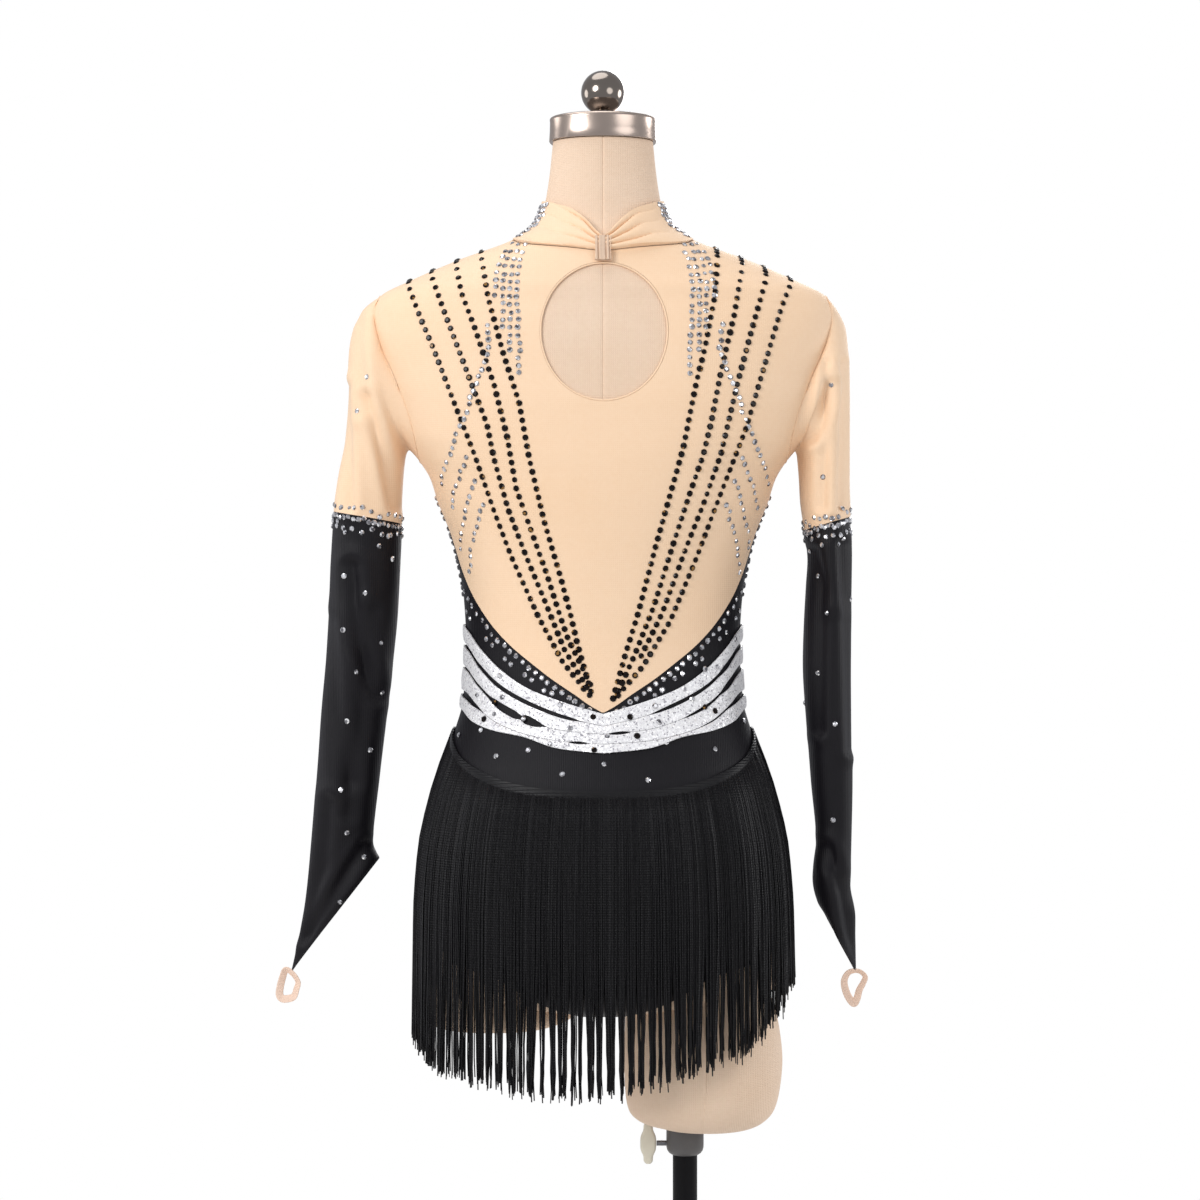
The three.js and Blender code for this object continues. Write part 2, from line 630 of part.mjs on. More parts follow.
function dressForm() {
  const inset = clothWall + formGap;
  const armPlate = 3;
  const torso = toSolid(loft(levels.slice(1).map((z) => bodyRing(z, -inset))));
  const thigh = toSolid(loft(thighSections.map(sectionRing)));
  const stump = toSolid(turnOutward(loft(stumpSections.map(sectionRing)).scale(-1, 1, 1)));
  const bore = toSolid(turned([[0, 600], [pole.bore, 600], [pole.bore, boreTop], [0, boreTop]], 24)
    .translate(poleFromBody, 0, 0));
  return torso.subtract(armholeCut(-1, armPlate)).subtract(armholeCut(1, armPlate))
    .add(thigh).add(stump).subtract(bore);
}

function neckCap() {
  const neckTop = body.at(-1).z;
  return loft(neckCapRings.map(({ z, scale }) => angles(aroundBody).map((angle) => (
    onBody(angle, neckTop).multiplyScalar(scale).setZ(neckTop + z)))));
}

function ballFinial() {
  const { ball, ballZ, stem, stemFoot } = finial;
  const start = Math.asin(stem / ball);
  const steps = 9;
  const arc = Array.from({ length: steps + 1 }, (_, k) => {
    const turn = THREE.MathUtils.lerp(start, Math.PI, k / steps);
    return [k === steps ? 0 : ball * Math.sin(turn), ballZ - ball * Math.cos(turn)];
  });
  return turned([[0, stemFoot], [stem, stemFoot], ...arc], 18).translate(0, finial.y, 0);
}

function poleTube() {
  const { radius, foot, top } = pole;
  return turned([[0, foot], [radius, foot], [radius, top - 1], [radius - 1, top], [0, top]], 24);
}

function standBase() {
  const { radius, thick, bevel, hub, hubTop, socketFloor } = base;
  return turned([
    [0, 0], [radius - bevel, 0], [radius, bevel], [radius, thick - bevel], [radius - bevel, thick],
    [hub, thick], [hub, hubTop - bevel], [hub - bevel, hubTop], [pole.bore, hubTop],
    [pole.bore, socketFloor], [0, socketFloor],
  ], 36);
}

function clampCollar() {
  const { radius, bottom, top, bevel } = poleCollar;
  const ring = toSolid(turned([
    [pole.bore, bottom], [radius - bevel, bottom], [radius, bottom + bevel], [radius, top],
    [pole.bore, top], [pole.bore, bottom],
  ], 24));
  const hole = toSolid(rod(screw.hole, -radius - 5, 0));
  return ring.subtract(hole);
}

// A round bar along X at the clamp's height
function rod(radius, fromX, toX) {
  const bar = new THREE.CylinderGeometry(radius, radius, toX - fromX, 12);
  return bar.rotateZ(Math.PI / 2).translate((fromX + toX) / 2, 0, clamp.z);
}

function clampLever() {
  const { leverX, reach, belly, tip, thick } = clamp;
  const bevel = 1.5;
  const halfOutline = table(['x', 'z'], [
    [tip - 2, -reach], [tip, 2 - reach], [belly - 1, -8], [belly, -3], [belly, 3], [belly - 1, 8],
    [tip, reach - 2], [tip - 2, reach],
  ]);
  const outline = [...halfOutline, ...mirrored(halfOutline).reverse()];
  const shape = new THREE.Shape(outline.map(({ x, z }) => (
    new THREE.Vector2(x * (1 - bevel / belly), z * (1 - bevel / reach)))));
  const depth = thick - 2 * bevel;
  const settings = { depth, bevelThickness: bevel, bevelSize: bevel, bevelSegments: 2 };
  const geometry = new THREE.ExtrudeGeometry(shape, settings);
  return geometry.rotateX(Math.PI / 2).translate(leverX, thick / 2 - bevel, clamp.z);
}

function clampScrew() {
  const leverFace = clamp.leverX + clamp.belly - poleFromBody;
  return rod(screw.radius, leverFace + seamGap, -pole.radius - seamGap);
}

// Materials

const finish = (color, roughness, metalness = 0) => new THREE.MeshStandardMaterial({
  color, roughness, metalness, flatShading: true, side: THREE.FrontSide,
});
const finishes = {
  linen: () => finish('#e3cfb4', 0.9),
  nudeMesh: () => finish('#f2cda6', 0.7),
  blackStretch: () => finish('#1e1c22', 0.55),
  glitterStrap: () => finish('#e9e7ea', 0.4, 0.2),
  blackFringe: () => finish('#18171b', 0.6),
  satin: () => finish('#d9c2ae', 0.3),
  elastic: () => finish('#f0cfb8', 0.8),
  chrome: () => finish('#b9bbc0', 0.12, 1),
  darkChrome: () => finish('#6b6468', 0.25, 1),
  greyPlastic: () => finish('#6c6a6a', 0.5),
  ivoryPlastic: () => finish('#d8d2c0', 0.4),
  blackPaint: () => finish('#111016', 0.4, 0.3),
  steel: () => finish('#55555a', 0.4, 0.9),
};

// Assembly

const part = new THREE.Group();
const figure = new THREE.Group();
figure.position.x = -poleFromBody;
part.add(figure);

function place(group, name, shape, material) {
  const geometry = shape instanceof THREE.BufferGeometry ? shape : toGeometry(shape);
  const mesh = new THREE.Mesh(geometry, material);
  mesh.name = name;
  group.add(mesh);
}

place(figure, 'dress_form', dressForm(), finishes.linen());
place(figure, 'neck_cap', neckCap(), finishes.darkChrome());
place(figure, 'ball_finial', ballFinial(), finishes.chrome());

place(figure, 'mesh_back', meshPanel(true), finishes.nudeMesh());
place(figure, 'mesh_front', meshPanel(false), finishes.nudeMesh());
place(figure, 'leotard_back', blackPanel(true), finishes.blackStretch());
place(figure, 'leotard_front', blackPanel(false), finishes.blackStretch());
place(figure, 'collar', collarBand(), finishes.nudeMesh());
place(figure, 'collar_gathering_band', gatheringBand(), finishes.satin());
place(figure, 'keyhole_binding', keyholeBinding(), finishes.nudeMesh());
beltStraps().forEach((strap, i) => place(figure, `waist_strap_${i + 1}`, strap, finishes.glitterStrap()));
place(figure, 'fringe_skirt', fringeSkirt(), finishes.blackFringe());

[leftSleeve, rightSleeve].forEach((sleeve) => {
  const name = sleeve.side < 0 ? 'left' : 'right';
  const last = sleeve.rows.length - 1;
  const sewn = 0.004;
  place(figure, `upper_sleeve_${name}`, sleeveStretch(sleeve, 0, sleeve.nude - sewn), finishes.nudeMesh());
  const lower = sleeveStretch(sleeve, sleeve.nude + sewn, last);
  place(figure, `lower_sleeve_${name}`, lower, finishes.blackStretch());
});
fingerLoops.forEach((loop) => {
  place(figure, `finger_loop_${loop.side < 0 ? 'left' : 'right'}`, fingerLoop(loop), finishes.elastic());
});

place(figure, 'clamp_lever', clampLever(), finishes.ivoryPlastic());
place(part, 'clamp_screw', clampScrew(), finishes.steel());
place(part, 'pole_collar', clampCollar(), finishes.greyPlastic());
place(part, 'stand_pole', poleTube(), finishes.blackPaint());
place(part, 'stand_base', standBase(), finishes.blackPaint());

export default part;
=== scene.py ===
import math

import bpy
import numpy as np
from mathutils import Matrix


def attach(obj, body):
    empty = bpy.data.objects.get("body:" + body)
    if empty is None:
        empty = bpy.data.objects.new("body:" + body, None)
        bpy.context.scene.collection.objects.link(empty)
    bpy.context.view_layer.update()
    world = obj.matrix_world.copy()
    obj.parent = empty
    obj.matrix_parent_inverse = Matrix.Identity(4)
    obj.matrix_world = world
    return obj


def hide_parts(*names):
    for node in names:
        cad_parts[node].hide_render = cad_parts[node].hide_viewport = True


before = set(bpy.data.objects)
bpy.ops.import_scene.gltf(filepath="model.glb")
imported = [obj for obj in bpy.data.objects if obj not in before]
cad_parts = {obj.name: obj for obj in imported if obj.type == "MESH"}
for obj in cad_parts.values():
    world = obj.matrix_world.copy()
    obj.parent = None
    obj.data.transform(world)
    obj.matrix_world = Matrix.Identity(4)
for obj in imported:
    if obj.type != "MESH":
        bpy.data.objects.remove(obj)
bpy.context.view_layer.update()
print("frame loaded")

# All shapes below are worked out in millimetres, with x 0 in the middle of the body, as in the CAD source.
# The back of the dress faces -y and the wearer's right is +x.
bodyShift = -73.8
seam = 0.15  # half the gap between two sewn pieces
clothWall = 1.2
rng = np.random.default_rng(7)


# Reading tables of measured rows


def columns(names, rows):
    return dict(zip(names.split(), np.array(rows, float).T))


def smoothLine(x, y):
    # Cubic pieces through the points, with slopes that never overshoot them
    width = np.diff(x)
    rise = np.diff(y) / width
    slope = np.zeros_like(y)
    slope[0], slope[-1] = rise[0], rise[-1]
    first, second = 2 * width[1:] + width[:-1], width[1:] + 2 * width[:-1]
    steady = rise[:-1] * rise[1:] > 0
    safe = np.where(steady, rise[:-1], 1), np.where(steady, rise[1:], 1)
    slope[1:-1] = np.where(steady, (first + second) / (first / safe[0] + second / safe[1]), 0)

    def at(value):
        value = np.clip(value, x[0], x[-1])
        i = np.clip(np.searchsorted(x, value, side="right") - 1, 0, len(x) - 2)
        t = (value - x[i]) / width[i]
        s = 1 - t
        ends = y[i] * (1 + 2 * t) * s * s + y[i + 1] * t * t * (3 - 2 * t)
        return ends + (slope[i] * s - slope[i + 1] * t) * width[i] * t * s

    return at


def roundLine(angle, height):
    # A line round the body takes an angle in radians from the middle of the back
    line = smoothLine(angle, height)
    return lambda turn: line(np.abs(np.degrees(turn)))


def roundLines(table):
    return {name: roundLine(table["angle"], height) for name, height in table.items() if name != "angle"}


def readRows(table, places):
    # Every column of a table, smoothed, at places counted in rows
    index = np.arange(len(next(iter(table.values()))), dtype=float)
    return [smoothLine(index, column)(places) for column in table.values()]


def power(value, exponent):
    return np.sign(value) * np.abs(value) ** exponent


def mix(a, b, share):
    return a + (b - a) * share


def smoothStep(value, low, high):
    t = np.clip((value - low) / (high - low), 0, 1)
    return t * t * (3 - 2 * t)


def unit(vectors):
    return vectors / np.maximum(np.linalg.norm(vectors, axis=-1, keepdims=True), 1e-9)


def fullTurn(count):
    return np.linspace(0, 2 * math.pi, count, endpoint=False)


def wayAlong(points):
    # The distance from the first point to each point of a line
    return np.concatenate([[0], np.cumsum(np.linalg.norm(np.diff(points, axis=0), axis=1))])


def roundStep(points, axis=0):
    # From the point before to the point after, on a closed line
    return np.roll(points, -1, axis) - np.roll(points, 1, axis)


def evenTurns(count, fine=()):
    # Even turns round the body, with finer ones added in degrees
    turns = np.linspace(-math.pi, math.pi, count, endpoint=False)
    return np.unique(np.concatenate([turns, np.radians(fine)]))


# The body's surface, which is the outside of the cloth

body = columns("z half back front square", [
    [750.5, 30, 0.3, 0.3, 2], [751.5, 60, 26, 24, 2], [756, 112, 64, 52, 2.1], [766, 148, 94, 77, 2.2],
    [785, 160, 109, 90, 2.2], [833, 163, 117, 97, 2.2], [896, 160, 117, 101, 2.2],
    [950, 150, 110, 101, 2.2], [975, 143, 104, 100, 2.15], [1005, 133, 94, 98, 2.1],
    [1031, 126, 85, 96, 2.1], [1080, 123, 80, 95, 2.1], [1121, 125, 84, 104, 2.1],
    [1157, 131, 90, 116, 2.1], [1180, 137, 94, 124, 2.15], [1211, 149, 99, 132, 2.25],
    [1230, 155, 101, 131, 2.35], [1249, 167, 102, 128, 2.5], [1264, 177, 102, 124, 2.6],
    [1289, 187, 102, 117, 2.7], [1313, 196, 100, 108, 2.8], [1350, 207, 95, 90, 2.8],
    [1372, 210, 90, 79, 2.6], [1384, 207, 86, 74, 2.5], [1394, 199, 84, 71, 2.4], [1406, 176, 79, 67, 2.2],
    [1425, 133, 71, 62, 2], [1443, 84, 62, 59, 2], [1452, 68, 56, 58, 2], [1463, 59, 50, 58, 2],
    [1479, 54, 44, 58, 2], [1504, 50, 38, 59, 2], [1533, 47, 34, 60, 2],
])
bodyHalf, bodyBack, bodyFront, bodySquare = (
    smoothLine(body["z"], body[name]) for name in ("half", "back", "front", "square"))

edges = roundLines(columns("angle collarSeam collarTop beltTop slit1 slit2 slit3 beltBottom fringeTop "
                           "hemLeft hemRight", [
    [0, 1426, 1437, 1021.8, 1011.3, 1004.4, 996, 988.5, 956.3, 699, 699],
    [15, 1430, 1456, 1032.2, 1019.5, 1007.8, 998.5, 992.3, 957.5, 700, 708],
    [30, 1433, 1467, 1043.5, 1031.2, 1016.5, 1004.6, 1001.8, 962.3, 703, 721],
    [45, 1436, 1472, 1059.7, 1045, 1028.8, 1014, 1006.6, 971.2, 709, 731],
    [60, 1440, 1476, 1078, 1062.5, 1045.5, 1027, 1013.3, 982, 716, 756],
    [75, 1443, 1478, 1094, 1078.5, 1059.2, 1036.5, 1022.7, 995, 730, 780],
    [90, 1446, 1479, 1099.6, 1083.4, 1062.7, 1039, 1026, 1006.3, 743, 785],
    [120, 1442, 1478, 1094, 1078, 1057, 1034, 1018, 1003, 742, 765],
    [150, 1434, 1474, 1082, 1066, 1046, 1025, 1008, 992, 740, 748],
    [180, 1430, 1472, 1076, 1060, 1040, 1020, 1004, 986, 740, 740],
])) | roundLines(columns("angle blackTop", [
    [0, 1023], [5, 1030], [10, 1038], [20, 1052], [30, 1066.5], [40, 1080.5], [50, 1096], [60, 1113.5],
    [70, 1132], [80, 1160], [86, 1195], [90, 1218], [100, 1222], [180, 1222],
]))
armSeam = columns("z x", [
    [1245, 163.8], [1265, 166.5], [1292, 173.7], [1319, 184.5], [1346, 196.5], [1373, 203], [1394, 199],
])
armSeamX = smoothLine(armSeam["z"], armSeam["x"])
armholeTop, armholeBottom = 1394, 1245
keyhole = {"x": 0.9, "z": 1354.5, "halfWidth": 55, "halfHeight": 61}


def onBody(angle, z, out=0.0):
    # A superellipse section, moved out along the surface's normal
    angle, z, out = np.broadcast_arrays(angle, z, out)
    half, square = bodyHalf(z), bodySquare(z)
    isBack = np.cos(angle) > 0
    depth = np.where(isBack, bodyBack(z), bodyFront(z))
    across, along = power(np.sin(angle), 2 / square), -power(np.cos(angle), 2 / square)
    halfSlope = bodyHalf(z + 0.5) - bodyHalf(z - 0.5)
    depthSlope = np.where(isBack, bodyBack(z + 0.5) - bodyBack(z - 0.5),
                          bodyFront(z + 0.5) - bodyFront(z - 0.5))
    lean = np.abs(across) ** square * halfSlope / half + np.abs(along) ** square * depthSlope / depth
    normal = unit(np.stack([power(across, square - 1) / half, power(along, square - 1) / depth, -lean], -1))
    return np.stack([across * half, along * depth, z], -1) + normal * out[..., None]


def bodyAngle(turn, z):
    # Even turns about the axis, as the angles that give the superellipse those turns
    square = bodySquare(z)
    return np.arctan2(power(np.sin(turn), square / 2), power(np.cos(turn), square / 2))


def lineHeight(line, turn):
    # The height of a line at even turns: the angle depends a little on the height, so it is worked out again
    z = line(turn)
    for _ in range(8):
        z = line(bodyAngle(turn, z))
    return z


def bodySheet(turns, low, high, rows, out, spread=1.0):
    # A grid between two lines; spread above 1 puts more rows at the lower one
    share = (np.linspace(0, 1, rows) ** spread)[:, None]
    z = mix(low, high, share)
    return onBody(bodyAngle(turns[None, :], z), z, out)


# Making meshes from grids


def gridFaces(rows, cols, closed, start=0):
    a = np.arange(rows - 1)[:, None] * cols + np.arange(cols if closed else cols - 1)[None, :]
    b = np.arange(rows - 1)[:, None] * cols + (np.arange(1, cols + 1 if closed else cols)[None, :] % cols)
    return np.stack([a, b, b + cols, a + cols], -1).reshape(-1, 4) + start


def ringFaces(rows, cols):
    # The faces of a grid that closes on itself both ways
    faces = gridFaces(rows + 1, cols, True)
    return np.where(faces >= rows * cols, faces - rows * cols, faces).tolist()


def copiedFaces(count, rings, around):
    # The faces of many small solids, each of a few rings with a face at both ends
    start = (np.arange(count) * rings * around)[:, None, None]
    ends = np.array([np.arange(around)[::-1], np.arange(around) + (rings - 1) * around])
    return [face for part in (gridFaces(rings, around, True), ends)
            for face in (part[None] + start).reshape(-1, part.shape[1]).tolist()]


def makePiece(name, points, faces, shift=bodyShift):
    points = (np.asarray(points, float).reshape(-1, 3) + [shift, 0, 0]) * 0.001
    mesh = bpy.data.meshes.new(name)
    mesh.from_pydata(points.tolist(), [], faces)
    mesh.update()
    if insideOut(mesh):
        mesh.flip_normals()
    piece = bpy.data.objects.new(name, mesh)
    bpy.context.scene.collection.objects.link(piece)
    return piece


def insideOut(mesh):
    # The signed volume of a closed mesh is below 0 when its faces point inwards
    mesh.calc_loop_triangles()
    corner = np.zeros(len(mesh.loop_triangles) * 3, np.int32)
    mesh.loop_triangles.foreach_get("vertices", corner)
    co = np.zeros(len(mesh.vertices) * 3, np.float32)
    mesh.vertices.foreach_get("co", co)
    a, b, c = co.reshape(-1, 3)[corner.reshape(-1, 3)].astype(float).transpose(1, 0, 2)
    return float(np.einsum("ij,ij->i", a, np.cross(b, c)).sum()) < 0


def wallPiece(name, outer, inner, closed=True):
    # A sheet with thickness: an outer grid, an inner grid and a rim between their edges
    rows, cols = outer.shape[:2]
    far = rows * cols
    faces = [gridFaces(rows, cols, closed), gridFaces(rows, cols, closed, far)[:, ::-1]]
    edge = gridFaces(2, cols, closed)[:, :2]
    rims = [edge[:, ::-1], edge + (rows - 1) * cols]
    if not closed:
        side = np.arange(rows - 1)[:, None] * cols
        rims += [side + [0, cols], side + [2 * cols - 1, cols - 1]]
    faces += [np.concatenate([rim, rim[:, ::-1] + far], axis=1) for rim in rims]
    points = np.concatenate([outer.reshape(-1, 3), inner.reshape(-1, 3)])
    return makePiece(name, points, np.concatenate(faces).tolist())


def sheetWall(name, turns, low, high, rows, outside, inside, closed=True):
    # A wall between two lines round the body
    grids = (bodySheet(turns, low, high, rows, out) for out in (outside, inside))
    return wallPiece(name, *grids, closed=closed)


def solidPiece(name, rings, shift=bodyShift):
    # A closed solid through rings, with a fan from the middle of each end ring
    count, around = rings.shape[:2]
    faces = gridFaces(count, around, True).tolist()
    near = np.arange(around)
    nextOne = (near + 1) % around
    last = (count - 1) * around
    faces += np.stack([nextOne, near, np.full(around, count * around)], -1).tolist()
    faces += np.stack([last + near, last + nextOne, np.full(around, count * around + 1)], -1).tolist()
    points = np.concatenate([rings.reshape(-1, 3), [rings[0].mean(0), rings[-1].mean(0)]])
    return makePiece(name, points, faces, shift)


through, backOnly = (-200, 200), (-200, -1)  # how far a cutter reaches in y


def prismPiece(outline, fromY, toY):
    # An outline in x and z carried along y
    outline = np.asarray(outline, float)
    count = len(outline)
    points = np.concatenate([np.insert(outline, 1, y, axis=1) for y in (fromY, toY)])
    near = np.arange(count)
    nextOne = (near + 1) % count
    faces = np.stack([near, nextOne, nextOne + count, near + count], -1).tolist()
    faces += [near[::-1].tolist(), (near + count).tolist()]
    return makePiece("cutter", points, faces)


def carve(piece, cutter, operation="DIFFERENCE"):
    cut = piece.modifiers.new("cut", "BOOLEAN")
    cut.object, cut.operation, cut.solver = cutter, operation, "MANIFOLD"
    bpy.context.view_layer.update()
    before = piece.data
    piece.data = bpy.data.meshes.new_from_object(piece.evaluated_get(bpy.context.evaluated_depsgraph_get()))
    piece.modifiers.clear()
    bpy.data.meshes.remove(before)
    bpy.data.objects.remove(cutter)


def turnedRings(profile, around, centre=(0, 0)):
    # A profile of radius and height carried round a vertical axis
    profile = np.asarray(profile, float)
    turn = fullTurn(around)
    x = centre[0] + profile[:, :1] * np.cos(turn)
    y = centre[1] + profile[:, :1] * np.sin(turn)
    return np.stack([x, y, np.broadcast_to(profile[:, 1:], x.shape)], -1)


def finishPiece(piece, material, bodyName="figure", replaced=(), sharp=40):
    piece.data.materials.clear()
    piece.data.materials.append(material)
    if sharp:
        piece.data.shade_smooth()
        piece.data.set_sharp_from_angle(angle=math.radians(sharp))
    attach(piece, bodyName)
    if replaced:
        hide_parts(*replaced)
    return piece


# Materials


def linear(colour):
    # An sRGB hex colour as the linear numbers that Blender takes
    parts = [int(colour[i:i + 2], 16) / 255 for i in (1, 3, 5)]
    return [p / 12.92 if p <= 0.04045 else ((p + 0.055) / 1.055) ** 2.4 for p in parts] + [1.0]


def addNode(tree, kind, settings=()):
    # A setting that is another node's output is linked
    made = tree.nodes.new(kind)
    for name, value in dict(settings).items():
        if isinstance(value, bpy.types.NodeSocket):
            tree.links.new(value, made.inputs[name])
        elif isinstance(name, int) or name in made.inputs:
            made.inputs[name].default_value = value
        else:
            setattr(made, name, value)
    return made


def newMaterial(name, settings):
    material = bpy.data.materials.new(name)
    material.use_nodes = True
    tree = material.node_tree
    tree.nodes.clear()
    surface = addNode(tree, "ShaderNodeBsdfPrincipled", settings)
    addNode(tree, "ShaderNodeOutputMaterial", {"Surface": surface.outputs["BSDF"]})
    return material, tree, surface


def mixColours(tree, share, *colours):
    first, second = (linear(colour) if isinstance(colour, str) else colour for colour in colours)
    return addNode(tree, "ShaderNodeMix", {"data_type": "RGBA", 0: share, 6: first, 7: second}).outputs[2]


def calculate(tree, operation, a, b=0.0):
    return addNode(tree, "ShaderNodeMath", {"operation": operation, 0: a, 1: b}).outputs[0]


def threads(tree, axes, spacing):
    # A wave across each named axis, with one crest for each thread; spacing is in millimetres
    place = addNode(tree, "ShaderNodeSeparateXYZ", {0: addNode(tree, "ShaderNodeTexCoord").outputs["Object"]})
    total = None
    for axis in axes:
        phase = calculate(tree, "MULTIPLY", place.outputs[axis], 2000 * math.pi / spacing)
        wave = calculate(tree, "SINE", phase)
        total = wave if total is None else calculate(tree, "ADD", total, wave)
    return total


def grain(tree, kind, size, **settings):
    # A pattern whose features are about size millimetres across, in object coordinates
    place = addNode(tree, "ShaderNodeTexCoord").outputs["Object"]
    return addNode(tree, kind, {"Scale": 1000 / size, **settings, "Vector": place})


def clothMaterial(name, base, shade, spacing, axes="XZ", bump=0.3, patches=60, **settings):
    # Cloth: the yarns raise a fine grid, and the colour drifts a little over patches of the cloth
    material, tree, surface = newMaterial(name, settings)
    drift = grain(tree, "ShaderNodeTexNoise", patches, Detail=3.0).outputs["Fac"]
    fuzz = grain(tree, "ShaderNodeTexNoise", spacing * 2, Detail=2.0).outputs["Fac"]
    weave = threads(tree, axes, spacing)
    share = calculate(tree, "ADD", calculate(tree, "MULTIPLY", drift, 0.7),
                      calculate(tree, "MULTIPLY", fuzz, 0.5))
    share = calculate(tree, "ADD", share, calculate(tree, "MULTIPLY", weave, -0.06))
    tree.links.new(mixColours(tree, share, base, shade), surface.inputs["Base Color"])
    height = calculate(tree, "ADD", weave, calculate(tree, "MULTIPLY", fuzz, 1.5))
    bumped = addNode(tree, "ShaderNodeBump", {"Strength": bump, "Distance": 0.0003, "Height": height})
    tree.links.new(bumped.outputs["Normal"], surface.inputs["Normal"])
    return material


# Linen cover of a dress form: matte, plain weave, slightly slubby; threads of 0.6 mm drawn at 1.6 mm
linen = clothMaterial("LinenCover", "#efd7c0", "#e2c4a8", 1.6, bump=0.35, Roughness=0.92,
                      **{"Sheen Weight": 0.12, "Sheen Roughness": 0.5})
# Skin-toned power mesh: smooth, thin and faintly shiny; its 0.7 mm net is drawn at 1.8 mm
nudeMesh = clothMaterial("SkinTonePowerMesh", "#f6d8b9", "#efcba6", 1.8, bump=0.12, patches=90,
                         Roughness=0.62, **{"Sheen Weight": 0.34, "Sheen Roughness": 0.4,
                                            "Sheen Tint": linear("#fff1e0")})
# Black stretch jersey: matte knit with a violet bloom at grazing angles; 0.5 mm wales drawn at 1.6 mm
blackStretch = clothMaterial("BlackStretchJersey", "#0d0c0f", "#151318", 1.6, axes="X", bump=0.25,
                             Roughness=0.55, **{"Sheen Weight": 0.06, "Sheen Roughness": 0.4,
                                                "Sheen Tint": linear("#6d6580"), "Specular IOR Level": 0.2})
# Chainette fringe yarn: soft rayon cord with a low gloss along the strand
chainette = clothMaterial("BlackChainette", "#070709", "#131215", 2.2, axes="Z", bump=0.4, Roughness=0.42,
                          **{"Sheen Weight": 0.03, "Sheen Tint": linear("#8a8296"),
                             "Specular IOR Level": 0.25})
# Nude elastic of the finger loops: ribbed, matte
elastic = clothMaterial("RibbedElastic", "#f9dfcd", "#ecccb6", 1.3, axes="Z", bump=0.5, Roughness=0.8)
# Satin of the gathering band: weft floats give a tight gloss
satin = clothMaterial("SkinToneSatin", "#ead2bb", "#cfb096", 1.2, axes="X", bump=0.1, Roughness=0.22,
                      **{"Anisotropic": 0.5})


def glitterMaterial():
    # Flakes of about 1.2 mm stuck at every tilt on white cloth, so each catches light by itself
    material, tree, surface = newMaterial("WhiteGlitterCloth", {"Metallic": 0.2, "Roughness": 0.3})
    flakes = grain(tree, "ShaderNodeTexVoronoi", 1.2, feature="F1")
    tone = addNode(tree, "ShaderNodeSeparateColor", {0: flakes.outputs["Color"]})
    dark = calculate(tree, "GREATER_THAN", tone.outputs[0], 0.9)
    light = mixColours(tree, tone.outputs[1], "#e6e4e7", "#ffffff")
    tree.links.new(mixColours(tree, dark, light, "#b3b0b7"), surface.inputs["Base Color"])
    tilt = addNode(tree, "ShaderNodeVectorMath", {"operation": "MULTIPLY_ADD", 0: flakes.outputs["Color"],
                                                  1: (0.6,) * 3, 2: (-0.3,) * 3})
    plain = addNode(tree, "ShaderNodeNewGeometry").outputs["Normal"]
    normal = addNode(tree, "ShaderNodeVectorMath", {"operation": "ADD", 0: plain, 1: tilt.outputs[0]})
    tree.links.new(normal.outputs[0], surface.inputs["Normal"])
    return material


glitter = glitterMaterial()


def smoothMaterial(name, base, shade, roughness, speck=8, wear=0.08, **settings):
    # A hard finish: the colour and the roughness drift a little, as handling and moulding leave them
    material, tree, surface = newMaterial(name, settings)
    drift = grain(tree, "ShaderNodeTexNoise", speck * 6, Detail=4.0).outputs["Fac"]
    tree.links.new(mixColours(tree, drift, base, shade), surface.inputs["Base Color"])
    rough = calculate(tree, "ADD", calculate(tree, "MULTIPLY", drift, wear), roughness - wear / 2)
    tree.links.new(rough, surface.inputs["Roughness"])
    fine = grain(tree, "ShaderNodeTexNoise", speck, Detail=2.0).outputs["Fac"]
    bumped = addNode(tree, "ShaderNodeBump", {"Strength": 0.06, "Distance": 0.0002, "Height": fine})
    tree.links.new(bumped.outputs["Normal"], surface.inputs["Normal"])
    return material


chrome = smoothMaterial("PolishedChrome", "#958c84", "#857c75", 0.14, Metallic=1.0)
gunmetal = smoothMaterial("DarkChrome", "#c4b4a8", "#ab9b92", 0.26, Metallic=1.0)
blackPaint = smoothMaterial("SemiGlossBlackPaint", "#050406", "#09080b", 0.42, **{"Specular IOR Level": 0.16})
greyPlastic = smoothMaterial("GreyAbs", "#5b5958", "#525050", 0.45, speck=1.5)
ivoryPlastic = smoothMaterial("IvoryAbs", "#e2dccb", "#d3ccb9", 0.35, speck=2.5)
steel = smoothMaterial("ZincPlatedSteel", "#8d8d92", "#77777c", 0.3, speck=1, Metallic=1.0)


def crystalMaterial(name, dark, brightReflection, paintedGlintColour, **settings):
    # Cut glass: each face gets a random tone from dark to bright, a painted reflection of the room; the
    # highest tones get a painted glint
    material, tree, surface = newMaterial(name, settings)
    tone = addNode(tree, "ShaderNodeAttribute", {"attribute_name": "tone"}).outputs["Fac"]
    # Faces above this tone take the painted glint colour, a painted highlight
    paintedGlintMask = calculate(tree, "GREATER_THAN", tone, 0.955)
    paintedFacetReflections = mixColours(tree, tone, dark, brightReflection)
    tree.links.new(mixColours(tree, paintedGlintMask, paintedFacetReflections, paintedGlintColour), surface.inputs["Base Color"])
    return material


# Silver stones: painted reflections from dark grey to near white, with white painted glints
silverCrystal = crystalMaterial("FoiledCrystal", "#4b4950", "#f4f4f8", "#ffffff",
                                Metallic=0.7, Roughness=0.16)
# Jet stones: painted reflections from black to dark brown, with golden-brown painted glints
jetCrystal = crystalMaterial("JetCrystal", "#040101", "#130805", "#8a6636", Roughness=0.14,
                             **{"Specular IOR Level": 0.22})
print("materials made")


# Dress form

